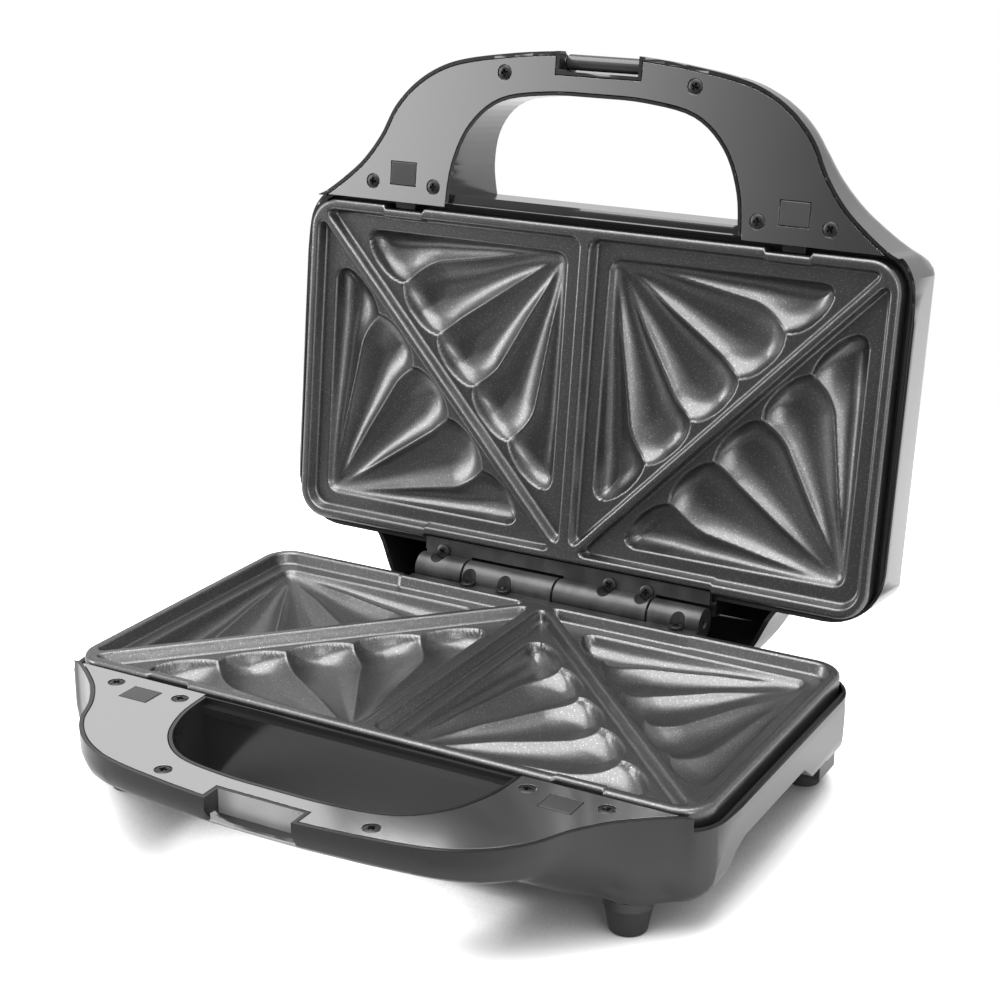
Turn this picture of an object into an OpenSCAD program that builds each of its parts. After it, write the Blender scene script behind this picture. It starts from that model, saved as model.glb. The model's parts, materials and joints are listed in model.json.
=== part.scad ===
// Sandwich toaster with a hinged lid, standing open on its four feet.
// Each half is drawn in "half coordinates": x to the side, y from the handle (minus) to the
// hinge (plus), and the third axis as depth away from the plane where the two halves meet.
// The base turns that depth downwards and the lid turns it upwards.

/* [Cooking plates] */
// Width of each cooking plate
plate_w = 250; // [235:1:275]
// Depth of each cooking plate, front to back
plate_d = 133; // [125:1:145]
// Width of the flat rim around each plate
plate_rim = 3.7; // [3:0.1:5]
// Radius of the plate corners
plate_r = 12; // [8:1:16]
// Wall thickness of the cast plates
plate_t = 2.6; // [2:0.1:3]
// Depth of the flat land inside the rim
land_drop = 4.6; // [4:0.1:5]
// Deepest point of the moulded recesses
recess_drop = 12; // [9:0.5:12.5]
// Width of the rib between the left and right halves
divider_w = 4.4; // [3:0.1:6]
// Width of the diagonal ribs
diagonal_w = 2.6; // [2:0.1:5]
// Depth of the skirt below the plate rim
skirt_d = 9; // [8.6:0.1:9.5]

/* [Shells] */
// Wall thickness of the moulded shells
wall = 2.5; // [2:0.1:3]
// How far the lip stands out beyond the plate on each side
lip_side = 4.5; // [4.3:0.1:6]
// How far the lip stands out behind the plate
lip_rear = 3.2; // [3:0.1:4]
// Depth of the lip below the meeting plane
lip_drop = 5.5; // [5:0.1:6]
// Height of the upright band of the lip
lip_band = 3; // [2:0.5:5]
// Radius of the rear corners of the shells
corner_r = 22; // [16:1:28]
// Inward lean of the side walls from the lip to the edge rounding
side_lean = 1.9; // [0.5:0.1:3]
// Rounding of the outer edges
edge_r = 12; // [6:1:14]
// Height of the lid above the meeting plane
lid_roof = 41.5; // [38:0.5:48]
// Depth of the base below the meeting plane
base_floor = 35; // [33.5:0.5:38]
// Height of the meeting plane above the table
stand_h = 46; // [45.5:0.5:55]
// Half width of the hood that covers the hinge
hood_half_w = 89; // [80:1:95]
// Radius of the hood
hood_r = 30.5; // [26:0.5:33]

/* [Handles] */
// How far the handles reach in front of the plates
handle_len = 65.3; // [61:0.1:70]
// Thickness of the lid handle at its tip
lid_tip = 9.5; // [9.5:0.1:12]
// Thickness of the base handle at its tip
base_tip = 10.4; // [10.2:0.1:11.5]
// Rise of the lid handle for each millimetre towards the body
lid_slope = 0.516; // [0.45:0.01:0.6]
// Distance of the finger opening from the plate's side
opening_inset = 62; // [57:1:75]
// Bar of the handle in front of the finger opening
handle_bar = 15.4; // [14:0.1:18]
// Half width of the notch for the latch
notch_half_w = 16.5; // [12:0.5:20]
// Depth of the notch for the latch
notch_d = 8.1; // [8:0.1:8.6]
// Width of the shell rim beside the handle panel
rim_w = 1.4; // [1:0.1:1.9]
// Gap around the handle panel
panel_gap = 0.4; // [0.3:0.1:0.6]
// Thickness of the handle panel
panel_t = 2.4; // [2:0.1:2.6]
// Depth of the panel face below the meeting plane
panel_drop = 0.7; // [0.5:0.1:1]

/* [Hinge] */
// Angle between the closed and the open lid
open_angle = 96.8; // [80:0.1:100]
// Distance of the hinge axis behind the plates
hinge_back = 11.6; // [11:0.1:12]
// Distance of the hinge axis below the meeting plane
hinge_drop = 0.8; // [0.5:0.1:1]
// Gap between the closed plates
seam = 0.2; // [0.2:0.1:0.5]
// Width of the hinge leaves
leaf_w = 126; // [118:1:140]
// Thickness of the hinge leaves
leaf_t = 2.5; // [2:0.1:2.5]
// Outer radius of the knuckles
knuckle_r = 6.2; // [5.6:0.1:6.3]
// Length of the outer knuckles
end_knuckle = 22; // [20:1:26]
// Diameter of the hinge pin
hinge_pin_d = 4; // [3:0.1:5]

/* [Latch and plate release] */
// Diameter of the latch barrel
latch_d = 6; // [5:0.1:6.5]
// Diameter of the latch pin
latch_pin_d = 3; // [2:0.1:3]
// Thickness of the latch arm
latch_t = 1.4; // [1:0.1:1.6]
// Swing of the latch from open to hooked
latch_swing = 192; // [185:1:195]
// Width of a release button
button_w = 11.4; // [9:0.1:12]
// Length of a release button, front to back
button_l = 9; // [8:0.1:9.4]
// Distance of the release buttons from the plate's side
button_inset = 42.4; // [41:0.1:45]
// Distance of the panel screws on each side of a release button
screw_spread = 14; // [13.5:0.1:14.5]
// Travel of the release buttons and their catches
travel = 1.6; // [1.3:0.1:1.8]

/* [Screws, feet and heating] */
// Diameter of the screw heads
head_d = 5.6; // [5:0.1:6]
// Height of the screw heads
head_h = 1.6; // [1.2:0.1:1.6]
// Diameter of the screw shanks
shank_d = 3; // [2.5:0.1:3.2]
// Diameter of the foot tips
foot_d = 12.5; // [10:0.5:14]
// Diameter of the heating rods
heater_d = 6.6; // [5:0.1:6.8]
// Thickness of the reflector sheets
reflector_t = 0.8; // [0.5:0.1:1]
// Bore of the cord gland
cord_bore = 7; // [5:0.1:8]

/* [Hidden] */
$fn = 48;

// Clearances
fit = 0.05;          // radial running clearance of pins and screws
slide_gap = 0.3;     // between sliding faces
cut = 1;             // overshoot of cutting bodies
far = 400;           // longer than the whole object

// Main lines of the plan, measured from the middle of the plates
edge_x = plate_w / 2;
edge_y = plate_d / 2;
lip_x = edge_x + lip_side;
rear_y = edge_y + lip_rear;
front_y = -(edge_y + handle_len);
hinge_y = edge_y + hinge_back;
panel_rear_y = -(edge_y + 1.7);
knee_y = front_y + (lid_roof - lid_tip) / lid_slope;
opening_half_w = edge_x - opening_inset;
button_x = edge_x - button_inset;
band_d = lip_drop + lip_band;

// The handle outline: [inset from the plate's side, share of the handle length ahead of the plate]
handle_points = [[110, 0.992], [90, 0.963], [68.5, 0.911], [56, 0.847], [45.5, 0.742], [37, 0.598],
    [31, 0.42], [23.5, 0.265], [15, 0.147], [6.5, 0.05]];
// The finger opening: [share of its half width, share of its length]
opening_points = [[0, 1], [0.32, 0.99], [0.65, 0.91], [0.86, 0.68], [0.97, 0.35], [1, 0]];
opening_front_y = front_y + handle_bar;

// Seats of the inner frame
frame_gap_side = 1.9;
frame_gap_front = 1.6;
frame_gap_rear = 0.8;
frame_t = 1.3;
frame_gap = 0.15;
flange_top = skirt_d + 0.1;
flange_t = 1.3;
frame_foot = flange_top + flange_t;
shelf_half_w = edge_x - 6.5;
shelf_half_d = edge_y - 4;
shelf_d = recess_drop + plate_t + 0.4;
well_half_w = edge_x - 27;
well_half_d = edge_y - 14;
well_d = base_floor - wall - 1.3;
tray_t = 1.2;

// Base underside: the arches between the front blocks and the rear legs
arch_x = edge_x - 22;
arch_d = shelf_d + tray_t + 0.3 + wall;
leg_d = stand_h - 5;
leg_half_w = 9;
leg_front_y = edge_y - 15;
leg_rear_y = edge_y + 0.5;
front_foot_x = edge_x - 24;
front_foot_y = -edge_y;
front_foot_top_d = 16.5;
front_pad_d = base_floor + 1;
rear_foot_x = edge_x - 12.5;
rear_foot_y = edge_y - 7;

// Screws and bosses
boss_d = shank_d + 4;
panel_screw_len = 10;
panel_screws = [[39.7, front_y + 10.1], [button_x + screw_spread, panel_rear_y - 7.2],
    [button_x - screw_spread, panel_rear_y - 7.2]];
leaf_drop = 1.9;
leaf_front_y = edge_y - 0.6;
leaf_rear_y = hinge_y - knuckle_r - 0.6;
leaf_bottom = leaf_drop + leaf_t;
hinge_screw_x = [leaf_w / 2 - end_knuckle + 13.3, -21, -37];
hinge_screw_y = hinge_y - 7.2;
hinge_screw_len = 12;
hinge_seat_rear_y = hinge_y - 1.6;
hinge_seat_d = 22;
middle_knuckle = leaf_w / 2 - end_knuckle;

// Latch
latch_y = front_y + 4.6;
latch_axis_d = lid_tip - 0.5;
ledge_top = base_tip - 1.2;
ledge_front_y = front_y + 3.3;
notch_lean = 1.8;
latch_reach = latch_axis_d + seam + base_tip + 2;
hook_len = 4.7;
hook_t = 2.2;

// Release buttons and catches
button_y = panel_rear_y - 11.3;
button_top = 0.5;
button_flange = 1.2;
stem_w = 5;
catch_top = panel_drop + panel_t + 0.5;
catch_t = 1.6;
catch_tip_y = -(edge_y - 1.2);
catch_post_y = -(edge_y + 3.5);
rail_top = 7;
rail_bottom = 10.5;
rail_w = 1.6;
rail_gap = 0.4;
plate_notch_x = button_w / 2 + 3.2;

// Heating
heater_axis_d = shelf_d + 3.6;
heater_bend = 34;
heater_half = 55;

// Rest position: the object's box is centred over the origin
function turned_y(y, z) = hinge_y + (y - hinge_y) * cos(open_angle) + (z + hinge_drop) * sin(open_angle);
back_y = turned_y(knee_y, seam + lid_roof);
y_shift = -(front_y + back_y) / 2;

// ---------------------------------------------------------------- curves

// Smooth curve through a list of points, with n steps between neighbours
function smooth(p, n) = concat([for (i = [0 : len(p) - 2], k = [0 : n - 1])
    let (t = k / n, a = p[max(i - 1, 0)], b = p[i], c = p[i + 1], d = p[min(i + 2, len(p) - 1)])
    b + (c - a) * t / 2 + (2 * a - 5 * b + 4 * c - d) * t * t / 2 + (3 * b - a - 3 * c + d) * t * t * t / 2],
    [p[len(p) - 1]]);

// Arc of n steps around a centre, from angle a to angle b
function arc(centre, r, a, b, n) = [for (k = [0 : n])
    centre + r * [cos(a + (b - a) * k / n), sin(a + (b - a) * k / n)]];

// A right half outline closed by its mirror image
function mirrored(p) = concat(p, [for (i = [len(p) - 1 : -1 : 0]) if (p[i][0] > 0.001) [-p[i][0], p[i][1]]]);

// A closed anticlockwise outline moved inwards by w
function inset(p, w) = [for (i = [0 : len(p) - 1])
    let (n = len(p), t = p[(i + 1) % n] - p[(i + n - 1) % n], u = t / norm(t)) p[i] + w * [-u[1], u[0]]];

// Plan of the shells
function shell_half() = concat([[0, front_y]], smooth(concat(
    [for (q = handle_points) [edge_x - q[0], -edge_y - q[1] * handle_len]],
    [[edge_x - 1, -edge_y], [lip_x - 1.2, -edge_y + 8], [lip_x, -edge_y + 22]]), 5),
    arc([lip_x - corner_r, rear_y - corner_r], corner_r, 0, 90, 10), [[0, rear_y]]);
function shell_plan(w) = inset(mirrored(shell_half()), w);

// Plan of the finger opening, as the panel cuts it; w moves it inwards
function opening_half() = smooth([for (q = opening_points)
    [q[0] * opening_half_w, panel_rear_y + q[1] * (opening_front_y - panel_rear_y)]], 5);
function opening_plan(w) = inset(mirrored(opening_half()), w);

// Rectangle with rounded corners, from y0 to y1
module rounded(half_w, y0, y1, r) {
    polygon(mirrored(concat([[0, y0]], arc([half_w - r, y0 + r], r, -90, 0, 8),
        arc([half_w - r, y1 - r], r, 0, 90, 8), [[0, y1]])));
}

// Side and cross profiles of a half, moved inwards by w
function side_profile(front, roof, w) = concat([[front_y - 20, -cut]],
    [[front_y - 20, front[0][1] - 20 * (front[1][1] - front[0][1]) / (front[1][0] - front[0][0]) - 1.15 * w]],
    [for (p = front) [p[0], p[1] - 1.15 * w]],
    arc([rear_y - side_lean - edge_r, roof - edge_r], edge_r - w, 90, 10, 8),
    [[rear_y - w, band_d], [rear_y - w, -cut]]);
function cross_profile(roof, w) = mirrored(concat([[0, -cut], [lip_x - w, -cut], [lip_x - w, band_d]],
    arc([lip_x - side_lean - edge_r, roof - edge_r], edge_r - w, 5, 90, 8), [[0, roof - w]]));

lid_front = [[front_y, lid_tip], [knee_y, lid_roof]];
base_front = [[front_y, base_tip], [front_y + 0.48 * handle_len, base_tip + 8.6],
    [front_y + 0.79 * handle_len, base_floor - 4], [-edge_y, base_floor]];

// Extrusions of a profile along x and along y
module along_x(h) { rotate([90, 0, 90]) linear_extrude(height = h, center = true) children(); }
module along_y(h) { rotate([90, 0, 0]) linear_extrude(height = h, center = true) children(); }

// A box between two corners
module box(a, b) { translate(a) cube(b - a); }

// Two copies, left and right
module pair() { children(); mirror([1, 0, 0]) children(); }

// ---------------------------------------------------------------- placing

module base_place() { translate([0, y_shift, stand_h]) mirror([0, 0, 1]) children(); }

module lid_place() {
    translate([0, hinge_y + y_shift, stand_h - hinge_drop]) rotate([-open_angle, 0, 0])
        translate([0, -hinge_y, hinge_drop + seam]) children();
}

// ---------------------------------------------------------------- shells

// The full volume of a half, moved inwards by w
module half_volume(front, roof, w) {
    intersection() {
        translate([0, 0, w > 0 ? -cut : 0]) linear_extrude(height = roof + 2 * cut) polygon(shell_plan(w));
        along_x(far) polygon(side_profile(front, roof, w));
        along_y(far) polygon(cross_profile(roof, w));
    }
}

// Hollow of the arch between a front block and a rear leg; w makes it larger all round
arch_front_y = -edge_y + 13;
arch_rear_y = edge_y - 16;
brow_y = edge_y - 24;
brow_d = arch_d + 8.5;
module arch(w) {
    translate([arch_x - w + far / 2, 0, 0]) along_x(far) polygon([
        [arch_front_y - w, far], [arch_front_y + 3 - w, base_floor - 5], [arch_front_y + 9 - w, arch_d + 3 - w],
        [arch_front_y + 15 - w, arch_d - w], [brow_y - 27 + w, arch_d - w], [brow_y - 14 + w, brow_d - w],
        [brow_y + w, brow_d - w], [brow_y + 4 + w, brow_d + 2 - w], [arch_rear_y - 1 + w, brow_d + 6],
        [arch_rear_y + w, far]]);
}

// Rear leg under a corner of the base, down to the foot
module leg_block() {
    box([rear_foot_x - leg_half_w, leg_front_y, base_floor - wall], [rear_foot_x + leg_half_w, leg_rear_y, leg_d]);
}

// Seat behind the plates that carries a hinge leaf; axis_d is the depth of the hinge axis
module hinge_seat(axis_d) {
    difference() {
        box([-leaf_w / 2 - 1.5, rear_y - 1.1, leaf_bottom], [leaf_w / 2 + 1.5, hinge_seat_rear_y, hinge_seat_d]);
        translate([0, hinge_y, axis_d]) rotate([0, 90, 0]) cylinder(r = knuckle_r + 0.4, h = far, center = true);
    }
}

// Solid parts inside a handle, before they are trimmed to the outer volume
module handle_inside() {
    linear_extrude(height = far) difference() {
        polygon(opening_plan(panel_gap));
        polygon(opening_plan(panel_gap + 1.2));
    }
    // stepped bar and front wall of the body behind the finger opening
    intersection() {
        linear_extrude(height = far) polygon(opening_plan(panel_gap));
        union() {
            box([-opening_half_w, panel_rear_y - 1.8, panel_drop], [opening_half_w, panel_rear_y + cut, 3]);
            box([-opening_half_w, panel_rear_y - 4.9, 3], [opening_half_w, panel_rear_y + cut, 6]);
            box([-opening_half_w, panel_rear_y - 3.8, 3], [opening_half_w, panel_rear_y + cut, far]);
        }
    }
    // walls of the latch notch
    box([-notch_half_w - 1.3, front_y - cut, 0],
        [notch_half_w + 1.3, front_y + notch_d + 1.3, panel_drop + panel_t]);
    box([-notch_half_w - 1.3, front_y - cut, panel_drop + panel_t],
        [notch_half_w + 1.3, front_y + notch_d + notch_lean + 1.3, far]);
    pair() {
        for (p = panel_screws) translate([p[0], p[1], panel_drop + panel_t]) cylinder(d = boss_d, h = far);
        // ribs that the catches slide on
        for (s = [-1, 1]) translate([button_x + s * (stem_w / 2 + rail_gap + rail_w / 2), 0, 0])
            box([-1, button_y - 7.5, rail_bottom + slide_gap], [1, catch_post_y + 1, far]);
        // seats of the latch pin
        box([notch_half_w, front_y - cut, latch_axis_d - 4], [notch_half_w + 6, latch_y + 3.2, far]);
    }
}

// What is cut from every half shell
module common_cuts() {
    box([-far, -far, -far], [far, far, panel_drop]);
    box([-far, panel_rear_y + 0.6, -far], [far, far, lip_drop]);
    // ledge in the outer wall that takes the edge of the handle panel
    translate([0, 0, -cut]) linear_extrude(height = panel_drop + panel_t + 0.1 + cut) difference() {
        polygon(shell_plan(rim_w));
        polygon(shell_plan(wall + cut));
        translate([-far, panel_rear_y]) square([2 * far, far]);
        translate([-notch_half_w - 1.3, front_y - cut]) square([2 * notch_half_w + 2.6, notch_d + 1.3 + cut]);
    }
    // through opening for the fingers
    translate([0, 0, -cut]) linear_extrude(height = far) intersection() {
        polygon(opening_plan(panel_gap + 1.2));
        translate([-far, panel_rear_y - 4.9 - far]) square([2 * far, far]);
    }
    // recess under the stepped bar
    translate([0, 0, 6]) linear_extrude(height = far) intersection() {
        polygon(opening_plan(panel_gap + 1.2));
        translate([-far, panel_rear_y - 3.8 - far]) square([2 * far, far]);
    }
    // seat of the inner frame
    intersection() {
        translate([0, 0, -cut]) linear_extrude(height = frame_foot + 0.15 + cut)
            rounded(edge_x + frame_gap_side + frame_t + frame_gap, -edge_y - frame_gap_front - frame_t - frame_gap,
                edge_y + frame_gap_rear + frame_t + frame_gap - 0.4, plate_r + 3);
        translate([0, 0, -cut]) linear_extrude(height = far) polygon(shell_plan(1.1));
        box([-far, panel_rear_y - 1.35, -cut], [far, far, far]);
    }
    pair() for (p = panel_screws) translate([p[0], p[1], 0]) cylinder(d = shank_d + 2 * fit, h = panel_screw_len + 3);
}

module shell(front, roof, arched) {
    difference() {
        half_volume(front, roof, 0);
        difference() {
            half_volume(front, roof, wall);
            if (arched) pair() arch(wall);
        }
        if (arched) pair() arch(0);
    }
    intersection() {
        half_volume(front, roof, 0);
        handle_inside();
    }
}

// Notch for the latch, down to depth to; its back wall leans by lean at the tip of the lid
module notch_cut(to, lean) {
    along_x(2 * notch_half_w) polygon([[-far, -cut], [front_y + notch_d, -cut], [front_y + notch_d, panel_drop],
        [front_y + notch_d + lean * to / lid_tip, to], [-far, to]]);
}

module base_shell() color("dimgray") base_place() {
    difference() {
        union() {
            shell(base_front, base_floor, true);
            hinge_seat(hinge_drop);
            pair() {
                leg_block();
                translate([front_foot_x, front_foot_y, base_floor - 10])
                    cylinder(d = front_foot_top_d + 1, h = front_pad_d - base_floor + 10);
            }
            // flat pad behind the rear wall for the cord gland
            box([gland_x - 9, rear_y - 6, gland_d - 9], [gland_x + 9, rear_y, gland_d + 9]);
        }
        common_cuts();
        notch_cut(ledge_top, 0);
        box([-notch_half_w, -far, -cut], [notch_half_w, ledge_front_y, far]);
        translate([gland_x, rear_y - 10, gland_d]) rotate([-90, 0, 0]) cylinder(d = gland_body_d + 2 * fit, h = 20);
        for (x = hinge_screw_x) translate([x, hinge_screw_y, 0])
            cylinder(d = shank_d + 2 * fit, h = leaf_drop + hinge_screw_len + 1);
    }
}

module lid_shell() color("dimgray") lid_place() {
    difference() {
        union() {
            shell(lid_front, lid_roof, false);
            hinge_seat(-hinge_drop - seam);
            difference() {
                hood_volume(0);
                hood_volume(2);
                half_volume(lid_front, lid_roof, wall);
            }
        }
        common_cuts();
        notch_cut(2 * lid_tip, notch_lean);
        translate([0, latch_y, latch_axis_d]) rotate([0, 90, 0])
            cylinder(d = latch_pin_d + 2 * fit, h = 2 * notch_half_w + 8.4, center = true);
        for (x = hinge_screw_x) translate([-x, hinge_screw_y, 0])
            cylinder(d = shank_d + 2 * fit, h = leaf_drop + hinge_screw_len + 1);
    }
}

// Hood behind the lid that covers the hinge, moved inwards by w
hood_y = rear_y - 5.7;
module hood_volume(w) {
    intersection() {
        translate([0, 0, w > 0 ? -cut : lip_drop - 0.5]) linear_extrude(height = far) polygon(mirrored(concat(
            [[0, hood_y], [hood_half_w - w, hood_y]],
            smooth([[hood_half_w - w, rear_y], [hood_half_w - 2.5 - w, rear_y + 4], [hood_half_w - 7 - w, rear_y + 14],
                [hood_half_w - 12 - w, rear_y + 22]], 4),
            [[hood_half_w - 20 - w, hood_y + hood_r + 1], [0, hood_y + hood_r + 1]])));
        translate([0, hood_y, lip_drop - 0.5]) rotate([0, 90, 0]) cylinder(r = hood_r - w, h = far, center = true, $fn = 96);
        box([-far, hood_y, -cut], [far, far, far]);
    }
}

// ---------------------------------------------------------------- inner frame and heating

module frame() {
    difference() {
        intersection() {
            union() {
                difference() {
                    translate([0, 0, lip_drop]) linear_extrude(height = frame_foot - lip_drop)
                        rounded(edge_x + frame_gap_side + frame_t, -edge_y - frame_gap_front - frame_t,
                            edge_y + frame_gap_rear + frame_t - 0.4, plate_r + 3);
                    translate([0, 0, lip_drop - cut]) linear_extrude(height = flange_top - lip_drop + cut)
                        rounded(edge_x + frame_gap_side, -edge_y - frame_gap_front, edge_y + frame_gap_rear, plate_r + 2);
                }
                translate([0, 0, flange_top]) linear_extrude(height = shelf_d + tray_t - flange_top)
                    rounded(shelf_half_w + tray_t, -shelf_half_d - tray_t, shelf_half_d + tray_t, plate_r - 4);
                translate([0, 0, shelf_d]) linear_extrude(height = well_d - shelf_d)
                    rounded(well_half_w + tray_t, -well_half_d - tray_t, well_half_d + tray_t, plate_r);
            }
            linear_extrude(height = far) polygon(shell_plan(1.1 + frame_gap));
        }
        translate([0, 0, flange_top - cut]) linear_extrude(height = shelf_d - flange_top + cut)
            rounded(shelf_half_w, -shelf_half_d, shelf_half_d, plate_r - 5);
        translate([0, 0, shelf_d - cut]) linear_extrude(height = well_d - tray_t - shelf_d + cut)
            rounded(well_half_w, -well_half_d, well_half_d, plate_r - 1);
        // slots for the tongues at the back of the plate
        pair() box([edge_x - 30.2, edge_y, skirt_d - 2.2], [edge_x - 19.8, edge_y + frame_gap_rear + frame_t + 1, skirt_d]);
    }
}

module reflector() {
    translate([0, 0, well_d - tray_t - reflector_t]) linear_extrude(height = reflector_t)
        rounded(well_half_w - 0.3, -well_half_d + 0.3, well_half_d - 0.3, plate_r - 1.3);
}

// Heating rod bent to a flat loop, with its two ends turned down towards the reflector
module heater() {
    translate([0, 0, heater_axis_d]) {
        for (s = [-1, 1]) {
            translate([s * heater_half, 0, 0]) rotate([0, 0, s > 0 ? -90 : 90])
                rotate_extrude(angle = 180) translate([heater_bend, 0]) circle(d = heater_d);
            translate([s * heater_half, heater_bend, 0]) rotate([0, -s * 90, 0]) cylinder(d = heater_d, h = heater_half);
            translate([s * heater_half, -heater_bend, 0]) rotate([0, -s * 90, 0])
                cylinder(d = heater_d, h = heater_half - 10);
            translate([s * 10, -heater_bend, 0]) sphere(d = heater_d);
            translate([s * 10, -heater_bend, 0]) cylinder(d = heater_d, h = well_d - tray_t - reflector_t - 0.3 - heater_axis_d);
        }
    }
}

// Saddles that hold the heating rod above the reflector
module heater_clips() {
    for (x = [-heater_half + 8, heater_half - 8], y = [-heater_bend, heater_bend]) translate([x, y, 0]) difference() {
        box([-3, -heater_d / 2 - 2, heater_axis_d - heater_d / 2 - 0.2],
            [3, heater_d / 2 + 2, well_d - tray_t - reflector_t]);
        translate([0, 0, heater_axis_d]) rotate([0, 90, 0]) cylinder(d = heater_d + 2 * fit, h = 20, center = true);
        box([-cut - 3, -heater_d / 2 - fit, 0], [cut + 3, heater_d / 2 + fit, heater_axis_d - 2]);
    }
}

// ---------------------------------------------------------------- cooking plate

// Corners of the triangular pockets beside the diagonal rib, right half
diag_a = [edge_x - 5.7, -(edge_y - 6.3)];
diag_b = [divider_w / 2 + 2.6, edge_y - 6.3];
diag_u = (diag_b - diag_a) / norm(diag_b - diag_a);
diag_n = [diag_u[1], -diag_u[0]];
pocket_x0 = divider_w / 2;
pocket_x1 = edge_x - plate_rim;
pocket_y = edge_y - plate_rim;

// The point where the diagonal's edge, w beside its middle, meets a given x or y
function diag_at_x(x, w) = let (o = diag_a + w * diag_n) [x, o[1] + (x - o[0]) * diag_u[1] / diag_u[0]];
function diag_at_y(y, w) = let (o = diag_a + w * diag_n) [o[0] + (y - o[1]) * diag_u[0] / diag_u[1], y];

// Triangle of the inner (front, middle) and the outer (rear, side) pocket
inner_pocket = [[pocket_x0, -pocket_y], diag_at_y(-pocket_y, -diagonal_w / 2), diag_at_x(pocket_x0, -diagonal_w / 2)];
outer_pocket = [[pocket_x1, pocket_y], diag_at_y(pocket_y, diagonal_w / 2), diag_at_x(pocket_x1, diagonal_w / 2)];

// Rounded ends of the five lobes of a fan: [share along x, share along y, radius]
lobe_ends = [[0.662, 0.068, 18.5], [0.517, 0.225, 18.5], [0.382, 0.387, 17.5], [0.238, 0.55, 17], [0.071, 0.672, 19]];
lobe_margin = 7.2;
fan_root = [8.2, 7];
root_r = 6;
lobe_sides = 16;
root_sides = 8;
plate_sides = 24;

// One lobe of the fan, from beside the right-angled corner out to its rounded end
module lobe(t, e, grow, deep) {
    away = [sign(t[1][0] - t[0][0]), sign(t[2][1] - t[0][1])];
    centre = t[0] + e[0] * (t[1] - t[0]) + e[1] * (t[2] - t[0]);
    root = t[0] + [away[0] * fan_root[0], away[1] * fan_root[1]];
    hull() {
        translate(concat(root, land_drop - 1)) cylinder(r = root_r + grow, h = (deep - land_drop) / 2 + 1,
            $fn = root_sides);
        translate(concat(centre, land_drop - 1))
            cylinder(r1 = e[2] + grow, r2 = e[2] * 0.62 + grow, h = deep - land_drop + 1, $fn = lobe_sides);
    }
}

// The fan of a pocket, kept inside its straight sides
module fan(t, grow, deep) {
    away = [sign(t[1][0] - t[0][0]), sign(t[2][1] - t[0][1])];
    intersection() {
        for (e = lobe_ends) lobe(t, e, grow, deep);
        translate(concat(t[0] + (lobe_margin - grow) * away + (far / 2) * away, 0)) cube(far, center = true);
    }
}

// Tongues under the frame at the hinge side
tongue_inset = 20;
tongue_w = 10;
tongue_l = 1.7;
tongue_t = 1.8;
module plate() {
    $fn = plate_sides;
    difference() {
        union() {
            linear_extrude(height = land_drop + plate_t) rounded(edge_x, -edge_y, edge_y, plate_r);
            difference() {
                linear_extrude(height = skirt_d) rounded(edge_x, -edge_y, edge_y, plate_r);
                translate([0, 0, -cut]) linear_extrude(height = skirt_d + 2 * cut)
                    rounded(edge_x - plate_t, -edge_y + plate_t, edge_y - plate_t, plate_r - plate_t);
            }
            pair() for (t = [inner_pocket, outer_pocket]) translate([0, 0, plate_t]) fan(t, plate_t, recess_drop);
            pair() box([edge_x - tongue_inset - tongue_w, edge_y - cut, skirt_d - tongue_t - 0.2],
                [edge_x - tongue_inset, edge_y + tongue_l, skirt_d - 0.2]);
        }
        pair() {
            for (t = [inner_pocket, outer_pocket]) {
                translate([0, 0, -cut]) linear_extrude(height = land_drop + cut) intersection() {
                    polygon(t);
                    rounded(pocket_x1, -pocket_y, pocket_y, plate_r - plate_rim);
                }
                fan(t, 0, recess_drop);
            }
            // notch for the catch
            box([button_x - plate_notch_x, -edge_y - cut, -cut], [button_x + plate_notch_x, catch_tip_y + slide_gap,
                catch_top + catch_t + 0.2]);
        }
        // relief beside the hinge leaf
        box([-leaf_w / 2 - 0.5, leaf_front_y - 0.7, -cut], [leaf_w / 2 + 0.5, edge_y + cut, leaf_bottom + 0.3]);
    }
}

// ---------------------------------------------------------------- handle panel and screws

module panel() {
    difference() {
        translate([0, 0, panel_drop]) linear_extrude(height = panel_t) difference() {
            polygon(shell_plan(rim_w + panel_gap));
            translate([-far, panel_rear_y]) square([2 * far, far]);
            polygon(opening_plan(0));
            translate([-notch_half_w - 1.3 - panel_gap, front_y - cut])
                square([2 * (notch_half_w + 1.3 + panel_gap), notch_d + 1.3 + panel_gap + cut]);
            for (s = [-1, 1]) translate([s * button_x, button_y])
                square([button_w + 0.6, button_l + 0.6], center = true);
        }
        pair() for (p = panel_screws) translate([p[0], p[1], 0]) {
            cylinder(d = shank_d + 0.4, h = far);
            cylinder(d = head_d + 0.6, h = panel_drop + head_h - 0.2);
        }
    }
}

// A pan-head screw whose head rests on depth 0 and whose shank goes deeper
module screw(len) {
    translate([0, 0, -head_h]) cylinder(d1 = head_d - 0.8, d2 = head_d, h = head_h * 0.6);
    translate([0, 0, -head_h * 0.4]) cylinder(d = head_d, h = head_h * 0.4);
    translate([0, 0, -0.2]) cylinder(d = shank_d, h = len + 0.2);
}

module panel_screw_set() {
    pair() for (p = panel_screws) translate([p[0], p[1], panel_drop + head_h - 0.2]) screw(panel_screw_len - head_h);
}

module hinge_screw_set(side) {
    for (x = hinge_screw_x) translate([side * x, hinge_screw_y, leaf_drop]) screw(hinge_screw_len);
}

// ---------------------------------------------------------------- hinge

// The knuckle spans [from, to] that belong to the base leaf; the lid leaf has their mirror image
knuckle_spans = [[-middle_knuckle, 0], [middle_knuckle, leaf_w / 2]];

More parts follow.
